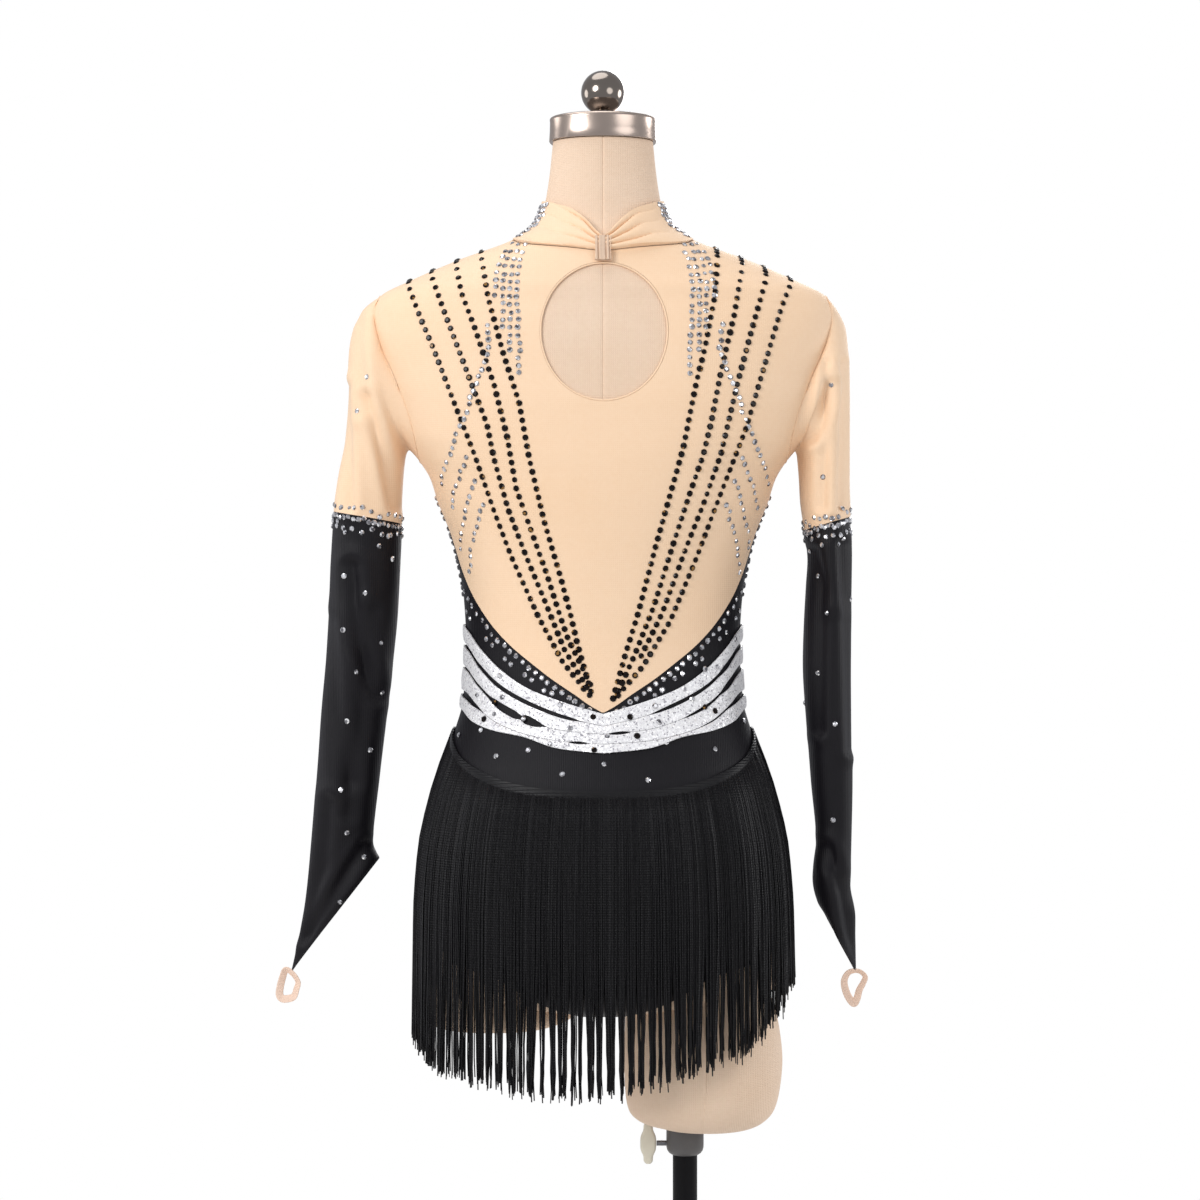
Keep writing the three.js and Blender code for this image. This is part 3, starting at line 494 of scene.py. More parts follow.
dressForm = {"inset": 2.0, "around": 192, "rows": 260, "seamDepth": 0.7, "seamWidth": 0.9, "bottom": 751.5,
             "hips": 785, "neck": 1533, "limbRadius": 70, "limbSeam": -1, "bore": 11.3, "boreTop": 895}
thigh = columns("z inner outer back front square", [
    [647, 55, 128, 30, 30, 2], [649, 50, 134, 42, 40, 2.1], [651.8, 44, 140, 52, 48, 2.2],
    [656, 31, 146, 62, 56, 2.3], [664, 23, 153, 73, 65, 2.3], [680, 20, 158, 83, 71, 2.3],
    [710, 19, 161, 88, 75, 2.3], [745, 20, 157, 87, 70, 2.3], [770, 21, 150, 83, 66, 2.3],
    [800, 24, 146, 82, 64, 2.3],
])
stump = columns("z inner outer back front square", [
    [744, 39, 155, 79, 64, 2.3], [748, 28, 155, 83, 67, 2.3], [757, 21, 154, 85, 69, 2.3],
    [770, 21, 150, 83, 66, 2.3], [800, 24, 146, 82, 64, 2.3],
])


def seamGroove(away, where):
    # How deep the sewn groove is at a distance from its middle
    return dressForm["seamDepth"] * np.exp(-(away / dressForm["seamWidth"]) ** 2) * where


def limbRings(limb, side):
    # Superellipse sections between the limb's inner and outer line, with a sewn groove down its back
    radius, seamX = dressForm["limbRadius"], dressForm["limbSeam"]
    places = np.linspace(0, len(limb["z"]) - 1, 90)
    z, inner, outer, back, front, square = (part[:, None] for part in readRows(limb, places))
    turns = evenTurns(128, np.degrees(seamX / radius) + np.array([-1.6, -0.9, -0.4, 0, 0.4, 0.9, 1.6]))
    sin, cos = np.sin(turns)[None, :], np.cos(turns)[None, :]
    size = (np.abs(sin) ** square + np.abs(cos) ** square) ** (-1 / square)
    depth = np.where(cos > 0, back, front)
    groove = seamGroove(sin * radius - seamX, cos > 0)
    x = side * ((inner + outer) / 2 + (outer - inner) / 2 * sin * size)
    return np.stack([x, -(depth - groove) * cos * size, np.broadcast_to(z, x.shape)], -1)


def armholeCutter(side, inset):
    # All that lies outside the armhole's seam
    z = np.linspace(armholeTop, armholeBottom, 60)
    x = armSeamX(z) - inset
    above, low, beyond = armholeTop + 50, armholeBottom - inset, 260
    outline = [[x[0], above], *np.stack([x, z], -1), [x[-1], low], [beyond, low], [beyond, above]]
    return prismPiece(np.array(outline) * [side, 1], *through)


def makeForm():
    turns = evenTurns(dressForm["around"], [-1.5, -1, -0.6, -0.3, 0.3, 0.6, 1, 1.5])
    bottom, hips = dressForm["bottom"], dressForm["hips"]
    low = bottom + (hips - bottom) * np.linspace(0, 1, 30) ** 1.8
    z = np.concatenate([low, np.linspace(hips, dressForm["neck"], dressForm["rows"])[1:]])[:, None]
    angle = bodyAngle(turns[None, :], z)
    groove = seamGroove(onBody(angle, z)[..., 0], np.abs(turns)[None, :] < 1)
    form = solidPiece("dressFormBody", onBody(angle, z, -dressForm["inset"] - groove))
    for side in (-1, 1):
        carve(form, armholeCutter(side, 3))
    carve(form, solidPiece("thigh", limbRings(thigh, 1)), "UNION")
    carve(form, solidPiece("stump", limbRings(stump, -1)), "UNION")
    bore = [[dressForm["bore"], 600], [dressForm["bore"], dressForm["boreTop"]]]
    carve(form, solidPiece("bore", turnedRings(bore, 48), shift=0))
    finishPiece(form, linen, replaced=["dress_form"], sharp=50)


makeForm()
print("dress form made")

# Neck cap and ball

neckCap = columns("z scale", [
    [0.3, 0.9], [0.3, 1.02], [0.9, 1.03], [9, 1.02], [17.6, 1.015], [19, 1.02], [20.4, 1.02], [21.4, 1.005],
    [22.2, 0.975], [22.9, 0.92], [23.3, 0.8], [23.4, 0.4],
])
ball = {"radius": 19.8, "z": 1580.2, "stem": 9, "foot": 1556.6, "y": 13}


def makeCap():
    # The neck's own section, scaled ring by ring
    neck = float(dressForm["neck"])
    section = onBody(bodyAngle(evenTurns(128), neck), neck)
    points = section[None] * neckCap["scale"][:, None, None]
    points[..., 2] = neck + neckCap["z"][:, None]
    finishPiece(solidPiece("neckCap", points), gunmetal, replaced=["neck_cap"], sharp=35)


def makeBall():
    radius, foot = ball["radius"], ball["foot"]
    start = math.asin(ball["stem"] / radius)
    arc = np.linspace(start, math.pi - 0.01, 40)
    profile = [[8.4, foot], [9.4, foot + 0.3], [9.4, foot + 2.5], [8.6, foot + 3.2],
               *np.stack([radius * np.sin(arc), ball["z"] - radius * np.cos(arc)], -1)]
    rings = turnedRings(profile, 72, (0, ball["y"]))
    finishPiece(solidPiece("ballFinial", rings), chrome, replaced=["ball_finial"], sharp=50)


makeCap()
makeBall()
print("cap and ball made")

# Panels of the dress

panels = {"around": 200, "yokeRows": 150, "blackRows": 170, "crotch": 750.6}
legEdge = columns("x z", [[18, 756], [57, 773], [96, 795], [134, 806], [148, 834], [156, 870], [190, 885]])


def halfTurns(isBack, count):
    # Even turns over the back or the front, from side seam to side seam
    turns = np.linspace(-math.pi / 2, math.pi / 2, count)
    return turns if isBack else turns + math.pi


def panelWall(name, turns, low, high, rows, spread=1.0):
    # A wall inside the body's surface that stops half a gap short of the side seams
    faces = [bodySheet(turns, low, high, rows, out, spread) for out in (0, -clothWall)]
    side = -1 if np.cos(turns[len(turns) // 2]) > 0 else 1
    for face in faces:
        face[..., 1] = side * np.maximum(side * face[..., 1], seam)
    return wallPiece(name, *faces, closed=False)


def keyholeOutline(count, grow=0.0):
    turn = fullTurn(count)
    return np.stack([keyhole["x"] + (keyhole["halfWidth"] + grow) * np.sin(turn),
                     keyhole["z"] + (keyhole["halfHeight"] + grow) * np.cos(turn)], -1)


def makeYoke(isBack):
    turns = halfTurns(isBack, panels["around"])
    low = lineHeight(edges["blackTop"], turns) + seam
    high = lineHeight(edges["collarSeam"], turns) - seam
    name = "yokeBack" if isBack else "yokeFront"
    yoke = panelWall(name, turns, low, high, panels["yokeRows"])
    for side in (-1, 1):
        carve(yoke, armholeCutter(side, 0))
    if isBack:
        carve(yoke, prismPiece(keyholeOutline(160, grow=0.9), *backOnly))
        low, high = keyhole["z"] + keyhole["halfHeight"] - 5, 1480
        carve(yoke, prismPiece([[-seam, low], [seam, low], [seam, high], [-seam, high]], *backOnly))
    return finishPiece(yoke, nudeMesh, replaced=["mesh_back" if isBack else "mesh_front"])


def makeLeotard(isBack):
    turns = halfTurns(isBack, panels["around"])
    high = lineHeight(edges["blackTop"], turns) - seam
    name = "leotardBack" if isBack else "leotardFront"
    low = np.full_like(high, panels["crotch"])
    leotard = panelWall(name, turns, low, high, panels["blackRows"], spread=1.5)
    leg = np.stack(readRows(legEdge, np.linspace(0, len(legEdge["x"]) - 1, 60)), -1)
    outline = np.vstack([[leg[0, 0], 700], leg, [leg[-1, 0], 700]])
    for side in (-1, 1):
        carve(leotard, prismPiece(outline * [side, 1], *through))
    return finishPiece(leotard, blackStretch,
                       replaced=["leotard_back" if isBack else "leotard_front"])


yokes = [makeYoke(True), makeYoke(False)]
leotards = [makeLeotard(True), makeLeotard(False)]
print("panels made")

# Belt

slitWidths = columns("angle slit1 slit2 slit3", [
    [-180, 0.35, 0.35, 0.35], [-130, 1.8, 1.8, 1.8], [-90, 4.8, 3.6, 4.5], [-75, 4.8, 3.3, 6.9],
    [-67, 4.8, 3.2, 6.6], [-60, 4.8, 3.0, 3.6], [-55, 4.8, 3.0, 1.2], [-52, 4.7, 3.3, 0.35],
    [-44, 4.5, 7.2, 0.35], [-36, 4.2, 7.2, 0.35], [-32, 4.1, 3.9, 0.35], [-30, 4.1, 7.8, 0.35],
    [-26, 3.9, 6.6, 0.35], [-20, 3.8, 0.35, 0.35], [-12, 3.0, 0.35, 0.35], [-6, 0.35, 0.35, 0.35],
    [16, 0.35, 0.35, 0.35], [22, 2.7, 0.35, 0.35], [30, 3.8, 0.35, 0.35], [36, 3.8, 2.2, 0.35],
    [44, 3.8, 3.2, 1.2], [53, 3.9, 2.7, 1.8], [57, 6.0, 5.4, 2.0], [62, 6.9, 7.5, 3.6], [70, 6.9, 7.5, 6.3],
    [90, 4.8, 4.8, 4.5], [130, 1.8, 1.8, 1.8], [180, 0.35, 0.35, 0.35],
])
belt = {"around": 480, "rows": 9, "inside": 1.1, "outside": 2.3, "crown": 0.6, "ripple": 0.3}
extraSlits = {"slit2": (5.5, 4.2, 2.4), "slit3": (-8.3, 3.6, 2.2)}  # middle and half length (degrees), width


def beltEdge(name, side=0):
    line = edges[name]
    if not side:
        return line
    width = smoothLine(slitWidths["angle"], slitWidths[name])
    middle, reach, wide = extraSlits.get(name, (0, 1, 0))

    def edge(angle):
        turn = np.degrees(angle)
        lens = wide * np.maximum(1 - ((turn - middle) / reach) ** 2, 0)
        return line(angle) + side * (width(turn) + lens) / 2

    return edge


def makeStrap(number, low, high):
    # The strap bulges a little between its edges and ripples along its length
    turns = evenTurns(belt["around"])
    share = np.linspace(0, 1, belt["rows"])[:, None]
    crown = belt["crown"] * np.sin(math.pi * share) ** 0.6
    ripple = belt["ripple"] * np.sin(turns * 23 + number * 2 + 3 * share) * np.sin(turns * 7 + number)
    foot, head = lineHeight(low, turns), lineHeight(high, turns)
    outside = belt["outside"] + crown + ripple * np.sin(math.pi * share)
    strap = sheetWall(f"beltStrap{number}", turns, foot, head, belt["rows"], outside, belt["inside"])
    return finishPiece(strap, glitter, replaced=[f"waist_strap_{number}"], sharp=60)


straps = [makeStrap(number, low, high) for number, (low, high) in enumerate([
    (beltEdge("slit1", 1), beltEdge("beltTop")), (beltEdge("slit2", 1), beltEdge("slit1", -1)),
    (beltEdge("slit3", 1), beltEdge("slit2", -1)), (beltEdge("beltBottom"), beltEdge("slit3", -1)),
], 1)]
print("belt made")

# Collar, gathering band and keyhole binding

collar = {"around": 520, "rows": 70, "folds": 3.4, "foldHeight": 4.6, "end": 0.004, "clear": 0.45,
          "drawn": (0.16, 1.25), "wander": 0.22}


def makeCollar():
    # Folds run along the neckband and grow towards the gathering band at the back
    end = collar["end"]
    turns = np.concatenate([[end], np.linspace(0, 2 * math.pi, collar["around"])[1:-1], [2 * math.pi - end]])
    turns = np.where(turns > math.pi, turns - 2 * math.pi, turns)
    low = lineHeight(edges["collarSeam"], turns) + collar["clear"]
    high = lineHeight(edges["collarTop"], turns)
    share = np.linspace(0, 1, collar["rows"])[:, None]
    drawn = 1 - smoothStep(np.abs(turns), *collar["drawn"])
    wander = collar["wander"] * np.sin(2.7 * turns + 0.6) + 0.1 * np.sin(9 * turns)
    wave = np.abs(np.sin(math.pi * (collar["folds"] * share + wander))) ** 0.5
    fold = collar["foldHeight"] * drawn * wave * (0.75 + 0.25 * np.sin(5 * turns + 2 * share))
    band = sheetWall("collarBand", turns, low, high, collar["rows"], clothWall + fold, 0.0, closed=False)
    return finishPiece(band, nudeMesh, replaced=["collar"], sharp=60)


satinBand = {"foot": 1415.6, "head": 1437.6, "out": 3.2, "half": 7.4, "pleatDepth": 2.2, "pleatPitch": 0.95}


def makeGatheringBand():
    # A short satin sleeve round the two collar ends, with folds down its length
    foot, head = (onBody(0.0, satinBand[end], satinBand["out"]) for end in ("foot", "head"))
    down = np.linspace(0, 1, 24)[:, None]
    turn = fullTurn(360)[None, :]
    front = smoothStep(np.sin(turn), 0, 0.5)
    across = satinBand["half"] * power(np.cos(turn), 0.35) * (1 - 0.06 * np.sin(math.pi * down))
    pleat = np.abs(np.sin(across * satinBand["pleatPitch"] + 0.35 * np.sin(2.4 * down) + 0.5)) ** 0.6
    fold = satinBand["pleatDepth"] * (pleat - 0.5) * front
    up = 0.95 + (0.95 + 0.5 * np.sin(math.pi * down)) * power(np.sin(turn), 0.6) + fold
    along = (head - foot)[None, None, :] * down[..., None]
    outward = np.cross([1.0, 0, 0], unit(head - foot))
    outward *= -np.sign(outward[1])
    points = foot + along + up[..., None] * outward + across[..., None] * np.array([1.0, 0, 0])
    return finishPiece(solidPiece("gatheringBand", points), satin,
                       replaced=["collar_gathering_band"], sharp=60)


def backAngle(x, z):
    share = np.minimum(np.abs(x) / bodyHalf(z), 1)
    return np.sign(x) * np.arcsin(share ** (bodySquare(z) / 2))


foldedEdge = {"steps": 200, "around": 14, "halfWidth": 0.8, "middle": -0.5, "top": 0.3}


def makeBinding():
    # A flattened tube along the keyhole's edge, flush with the mesh around it
    x, z = keyholeOutline(foldedEdge["steps"]).T
    centre = onBody(backAngle(x, z), z, foldedEdge["middle"])
    outward = onBody(backAngle(x, z), z, foldedEdge["top"]) - centre
    sideways = foldedEdge["halfWidth"] * unit(np.cross(roundStep(centre), outward))
    turn = fullTurn(foldedEdge["around"])[:, None]
    rings = centre[:, None] + np.cos(turn) * sideways[:, None] + np.sin(turn) * outward[:, None]
    piece = makePiece("keyholeBinding", rings, ringFaces(len(x), len(turn)))
    return finishPiece(piece, nudeMesh, replaced=["keyhole_binding"])


collarBand = makeCollar()
gatheringBand = makeGatheringBand()
binding = makeBinding()
print("collar made")

# Sleeves

sleeveNames = "outerX outerZ innerX innerZ depth y pinch"
sleeves = {
    "left": {"side": -1, "rows": columns(sleeveNames, [
        [199, 1394, 164, 1245, 57, 0, 0], [215, 1384, 170.5, 1253, 58, 0, 0],
        [224, 1366, 174.5, 1256, 57, 0, 0], [227.7, 1341, 177, 1253, 55, 0, 0],
        [229, 1301, 179, 1244, 52, 0, 0], [232, 1265, 180.5, 1230, 48, 0, 0],
        [237.6, 1229, 181, 1212, 44, 1, 0], [242, 1200.4, 181, 1189.6, 40, 1, 0],
        [245, 1157, 182.5, 1153, 37, 2, 0], [247, 1112, 185, 1108, 36, 3, 0],
        [250, 1064, 189.5, 1064, 35, 4, 0], [254, 1013, 195.5, 1013, 33, 6, 0],
        [258.5, 960, 202, 960, 31, 8, 0], [263, 905, 208, 905, 27, 10, 0],
        [266.5, 868, 205, 893, 26, 11, 0.15], [272, 830, 203, 890, 26, 11, 0.4],
        [281.7, 786, 202, 888, 26, 11, 0.72],
    ])},
    "right": {"side": 1, "rows": columns(sleeveNames, [
        [199, 1394, 164, 1245, 57, 0, 0], [211.5, 1382, 170, 1252, 58, 0, 0],
        [218, 1364, 173, 1255, 57, 0, 0], [220.5, 1337, 174.5, 1252, 55, 0, 0],
        [221, 1301, 175.5, 1243, 52, 0, 0], [221, 1265, 176.5, 1230, 49, 0, 0],
        [221, 1229, 177.5, 1211, 45, 0, 0], [222, 1196, 181, 1184, 42, 0, 0],
        [223, 1157, 184, 1155, 40, 0, 0], [223, 1112, 182, 1110, 38, 0, 0],
        [223, 1064, 180.5, 1064, 37, 0, 0], [223.5, 1013, 183.5, 1013, 36, 1, 0],
        [224, 960, 187.5, 960, 34, 2, 0], [223, 905, 192.5, 905, 31, 3, 0],
        [222, 868, 189, 870, 30, 3, 0.1], [227, 835, 193, 850, 31, 3, 0.4],
        [228, 787, 200, 838, 32, 3, 0.75],
    ])},
}
nudeRows = 7  # the sleeve's row where the nude mesh ends

# Creases seen on the back of the sleeves: a line through points of x and z, how wide and how deep
creases = {
    "left": [
        ([[-229, 1310], [-226, 1206]], 6, 2.4), ([[-208, 1300], [-193, 1245], [-186, 1206]], 5.5, 2.4),
        ([[-218, 1370], [-213, 1290]], 7, 1.5), ([[-223, 1151], [-217, 1081], [-201, 1036]], 7, 2.4),
        ([[-246, 1100], [-238, 1020], [-226, 960]], 9, 1.6),
        ([[-206, 1110], [-216, 1010], [-228, 930]], 8, 1.4),
        ([[-244, 940], [-252, 880], [-268, 820]], 7, 1.6),
        ([[-214, 900], [-240, 860], [-268, 812]], 6, 1.8),
    ],
    "right": [
        ([[200, 1310], [186, 1265]], 5.5, 2.6), ([[197, 1330], [194, 1205]], 5, 1.4),
        ([[212, 1330], [211, 1205]], 5, 1.6), ([[187, 1164], [193, 1136], [192, 1006]], 6, 2.0),
        ([[213, 1170], [218, 1092], [221, 989]], 6, 2.0), ([[204, 1100], [207, 980], [206, 890]], 9, 1.4),
        ([[199, 900], [214, 860], [226, 800]], 6, 1.8),
    ],
}


def awayFrom(points, line):
    # The distance in x and z from each point to a polyline
    nearest = np.full(points.shape[:-1], 1e9)
    for a, b in zip(line[:-1], line[1:]):
        a, b = np.array(a, float), np.array(b, float)
        t = np.clip(((points - a) @ (b - a)) / ((b - a) @ (b - a)), 0, 1)
        nearest = np.minimum(nearest, np.linalg.norm(points - (a + t[..., None] * (b - a)), axis=-1))
    return nearest


def sleeveGrid(name, places, turns):
    # Ellipses between the outermost and innermost point, which turn into the armhole's ring at the top
    side, rows = sleeves[name]["side"], sleeves[name]["rows"]
    outerX, outerZ, innerX, innerZ, depth, y, pinch = (part[:, None] for part in readRows(rows, places))
    cos, sin = np.cos(turns)[None, :], np.sin(turns)[None, :]
    upper = (1 + cos) / 2
    x, z = mix(innerX, outerX, upper), mix(innerZ, outerZ, upper)
    points = np.stack([side * x, y - depth * sin * (1 - pinch * upper), z], -1)
    ringZ = (armholeTop + armholeBottom) / 2 + (armholeTop - armholeBottom) / 2 * np.cos(turns)
    ringX = armSeamX(ringZ) + 2 * seam
    square = bodySquare(ringZ)
    rest = np.maximum(1 - np.minimum(ringX / bodyHalf(ringZ), 1) ** square, 0) ** (1 / square)
    ringY = np.where(np.sin(turns) > 0, -bodyBack(ringZ), bodyFront(ringZ)) * rest
    ring = np.stack([side * ringX, ringY, ringZ], -1)
    return mix(ring[None], points, smoothStep(places, 0, 2)[:, None, None])


def gridNormals(points, outwardFrom):
    # The cross product of the grid's two directions, turned away from the middle line
    normal = unit(np.cross(roundStep(points, 1), np.gradient(points, axis=0)))
    facing = np.einsum("ijk,ijk->ij", normal, points - outwardFrom)
    return normal * (1 if facing.mean() > 0 else -1)


sleeveCloth = {"around": 128, "fold": 1.8, "underArm": 0.6, "stitchDepth": 1.0, "stitchReach": 0.08,
               "calm": (1.2, 15.4, 16), "rimAway": 1.6, "rimHeight": 0.6}


def makeSleeve(name, start, stop, rows, material, word):
    # The creases fade out at the armhole and the cuff, where the cloth is held
    places = np.linspace(start, stop, rows)
    turns = fullTurn(sleeveCloth["around"])
    calm = sleeveCloth["calm"]
    outer = sleeveGrid(name, places, turns)
    normal = gridNormals(outer, outer.mean(1, keepdims=True))
    flat = outer[..., [0, 2]]
    held = smoothStep(places, 0, calm[0])[:, None] * (1 - smoothStep(places, *calm[1:]))[:, None]
    behind = np.where(np.sin(turns) > 0, 1.0, sleeveCloth["underArm"]) * np.abs(np.sin(turns)) ** 0.5
    fold = np.zeros(flat.shape[:-1])
    for line, width, depth in creases[name]:
        away = awayFrom(flat, line)
        rim = sleeveCloth["rimHeight"] * np.exp(-((away - sleeveCloth["rimAway"] * width) / width) ** 2)
        fold += depth * (rim - np.exp(-(away / width) ** 2))
    stitched = sleeveCloth["stitchDepth"] * np.exp(-(places / sleeveCloth["stitchReach"]) ** 2) * (places > 0)
    rise = sleeveCloth["fold"] * fold * held * behind - stitched[:, None]
    outer = outer + normal * rise[..., None]
    normal = gridNormals(outer, outer.mean(1, keepdims=True))
    inner = outer - normal * clothWall
    if start == 0:
        inner[0, :, 0] = outer[0, :, 0]
    sleeve = wallPiece(f"{word}Sleeve{name.capitalize()}", outer, inner)
    surfaces.append((outer, normal))
    return finishPiece(sleeve, material, replaced=[f"{word}_sleeve_{name}"], sharp=70)


surfaces = []
for name in ("left", "right"):
    makeSleeve(name, 0, nudeRows - 0.004, 110, nudeMesh, "upper")
    makeSleeve(name, nudeRows + 0.004, 16, 190, blackStretch, "lower")
print("sleeves made")

# Finger loops

fingerLoops = {
    "Left": {"x": -284, "y": 11, "twist": [0.8, 1.3],
             "path": [[-2.6, 787], [-6, 779], [-8, 771], [-8.6, 764.5], [-6, 760.8], [-0.5, 760.8],
                      [4.6, 763], [7, 769.5], [8.4, 776], [4, 783]]},
    "Right": {"x": 226.5, "y": 3, "twist": [0.6, 1.3],
              "path": [[-1, 787], [-6, 784.5], [-9, 777.5], [-7.6, 769], [-4.4, 762], [-0.4, 757.8],
                       [2.4, 762.5], [4.4, 770], [7.6, 776], [9.6, 782], [5, 786.5]]},
}
loopBand = {"width": 7.0, "thick": 1.4, "steps": 160, "around": 20, "sway": 1.5}


def closedCurve(points, steps):
    # A closed curve through the points, each piece a Catmull-Rom cubic
    points = np.array(points, float)
    t = np.linspace(0, len(points), steps, endpoint=False)
    i = t.astype(int)
    s = (t - i)[:, None]
    a, b, c, d = (points[(i + k) % len(points)] for k in (-1, 0, 1, 2))
    square, cube = 2 * a - 5 * b + 4 * c - d, 3 * b - a - 3 * c + d
    return 0.5 * (2 * b + (c - a) * s + square * s ** 2 + cube * s ** 3)


def makeLoop(word):
    # A rounded band carried along a closed curve, its width turned partly into the curve's plane
    loop = fingerLoops[word]
    path = closedCurve(loop["path"], loopBand["steps"])
    along = unit(roundStep(path))
    turn = fullTurn(loopBand["around"])
    thick = loopBand["thick"] / 2 * power(np.sin(turn), 0.7)
    width = loopBand["width"] / 2 * power(np.cos(turn), 0.7)
    lap = fullTurn(len(path))[:, None]
    twist = mix(*loop["twist"], 0.5 + 0.5 * np.sin(lap - 0.6))
    inPlane = thick * np.cos(twist) - width * np.sin(twist)
    x = loop["x"] + path[:, :1] + inPlane * along[:, 1:]
    z = path[:, 1:] - inPlane * along[:, :1]
    y = loop["y"] + thick * np.sin(twist) + width * np.cos(twist) + loopBand["sway"] * np.sin(lap)
    piece = makePiece(f"fingerLoop{word}", np.stack([x, y, z], -1), ringFaces(len(path), len(turn)))
    return finishPiece(piece, elastic, replaced=[f"finger_loop_{word.lower()}"], sharp=70)


loops = [makeLoop("Left"), makeLoop("Right")]
print("finger loops made")

# Fringe

fringe = {"strip": 7.0, "stripOut": 2.4, "stripRows": 6, "hipLevel": 845.0, "rings": 14, "width": 1.25,
          "bunch": (4, 10), "drift": 1.4, "gather": 0.78, "uneven": 3.2, "clump": 2.2, "bend": 0.35,
          "stray": 0.5, "kink": 0.7, "draw": (0.6, 1.15), "from": 1.5, "lift": 0.9, "thin": 0.12}
fringeLayers = [
    {"name": "fringeOuter", "strands": 900, "out": [2.4, 4.2, 6.0, 7.8], "longer": 0.0, "loose": 1.0},
    {"name": "fringeInner", "strands": 760, "out": [1.6, 3.0, 4.2, 5.2], "longer": 2.0, "loose": 1.3},
]


def makeStrip():
    turns = evenTurns(420)
    top = lineHeight(edges["fringeTop"], turns)
    rows = fringe["stripRows"]
    outside = fringe["stripOut"] + 0.4 * np.sin(math.pi * np.linspace(0, 1, rows)[:, None])
    strip = sheetWall("fringeStrip", turns, top - fringe["strip"], top, rows, outside, belt["inside"])
    return finishPiece(strip, chainette, replaced=["fringe_skirt"], sharp=60)


def strandPlaces(count):
    # Equal distances along the strip, and the even turns that lead to them
    turns = np.linspace(-math.pi, math.pi, 2881)
    top = lineHeight(edges["fringeTop"], turns)
    way = wayAlong(onBody(bodyAngle(turns, top), top, 2.0))
    places = (np.arange(count) + 0.5) / count * way[-1]
    return places, np.interp(places, way, turns)


bunchEdges = np.cumsum(rng.uniform(*fringe["bunch"], 300))
bunchDrift = rng.normal(0, fringe["drift"], len(bunchEdges))


def makeFringe(layer):
    # Thin three-sided tubes that clear the hips and fall straight; bunches of them close up at the hem
    count = layer["strands"]
    places, turns = strandPlaces(count)
    share = np.linspace(0, 1, fringe["rings"]) ** 0.85
    top = lineHeight(edges["fringeTop"], turns) - fringe["from"]
    hem = np.where(turns < 0, edges["hemLeft"](turns), edges["hemRight"](turns))
    clump = np.repeat(rng.normal(0, 1, count), 5)[:count]
    hem = hem + fringe["uneven"] * rng.normal(0, 1, count) + fringe["clump"] * clump - layer["longer"]
    z = mix(top[:, None], hem[:, None], share)
    out = smoothLine(np.array([0, 0.16, 0.42, 1]), np.array(layer["out"]))(share)
    out = out[None, :] + share * layer["loose"] * rng.normal(0, fringe["lift"], (count, 1))
    level = np.maximum(z, fringe["hipLevel"])
    middle = onBody(bodyAngle(turns[:, None], level), level, out)
    middle[..., 2] = z
    outward = middle / np.linalg.norm(middle[..., :2], axis=-1, keepdims=True)
    outward[..., 2] = 0
    sideways = np.stack([-outward[..., 1], outward[..., 0], np.zeros_like(z)], -1)
    bunch = np.searchsorted(bunchEdges, places)
    offCentre = places - (bunchEdges[bunch] + np.where(bunch > 0, bunchEdges[bunch - 1], 0)) / 2
    drawn = fringe["gather"] * rng.uniform(*fringe["draw"], count) * offCentre
    bend = fringe["bend"] * np.sin(share * 5 + rng.uniform(0, 6, (count, 1)))
    pull = bunchDrift[bunch] - drawn + fringe["stray"] * rng.normal(0, 1, count)
    kink = share ** 6 * np.sin(share * 60 + rng.uniform(0, 6, (count, 1)))
    sway = smoothStep(share, 0.5, 1.0) * pull[:, None] + bend * share + fringe["kink"] * kink
    middle = middle + sideways * sway[..., None]
    corner = np.radians([90, 210, 330])
    size = fringe["width"] / 2 * (1 + fringe["thin"] * rng.normal(0, 1, count))[:, None, None, None]
    spin = rng.uniform(0, 2 * math.pi, count)[:, None, None]
    cos, sin = np.cos(corner + spin)[..., None], np.sin(corner + spin)[..., None]
    points = middle[:, :, None] + size * (cos * sideways[:, :, None] + sin * outward[:, :, None])
    piece = makePiece(layer["name"], points, copiedFaces(count, fringe["rings"], len(corner)))
    return finishPiece(piece, chainette, sharp=180)


fringeStrip = makeStrip()
fringes = [makeFringe(layer) for layer in fringeLayers]
print("fringe made")

# Crystals, each placed by where it is seen in the photograph and seated on the surface there

eye = {"y": -2400.0, "z": 1121.2, "perMm": 1 / 0.9, "middleX": 603.0, "middleY": 600.0}


def seen(points):
    # Where points are seen, in the photograph's 1200 steps
    away = (points[..., 1] - eye["y"]) / -eye["y"]
    return np.stack([eye["middleX"] + points[..., 0] * eye["perMm"] / away,
                     eye["middleY"] - (points[..., 2] - eye["z"]) * eye["perMm"] / away], -1)


def withNormals(angle, z, out=0.1):
    points = onBody(angle, z, out)
    return points, onBody(angle, z, out + 1.0) - points


def backSurface(low, high, out=0.1):
    z = np.linspace(low, high, 260)[:, None]
    return withNormals(bodyAngle(halfTurns(True, 240)[None, :], z), z, out)


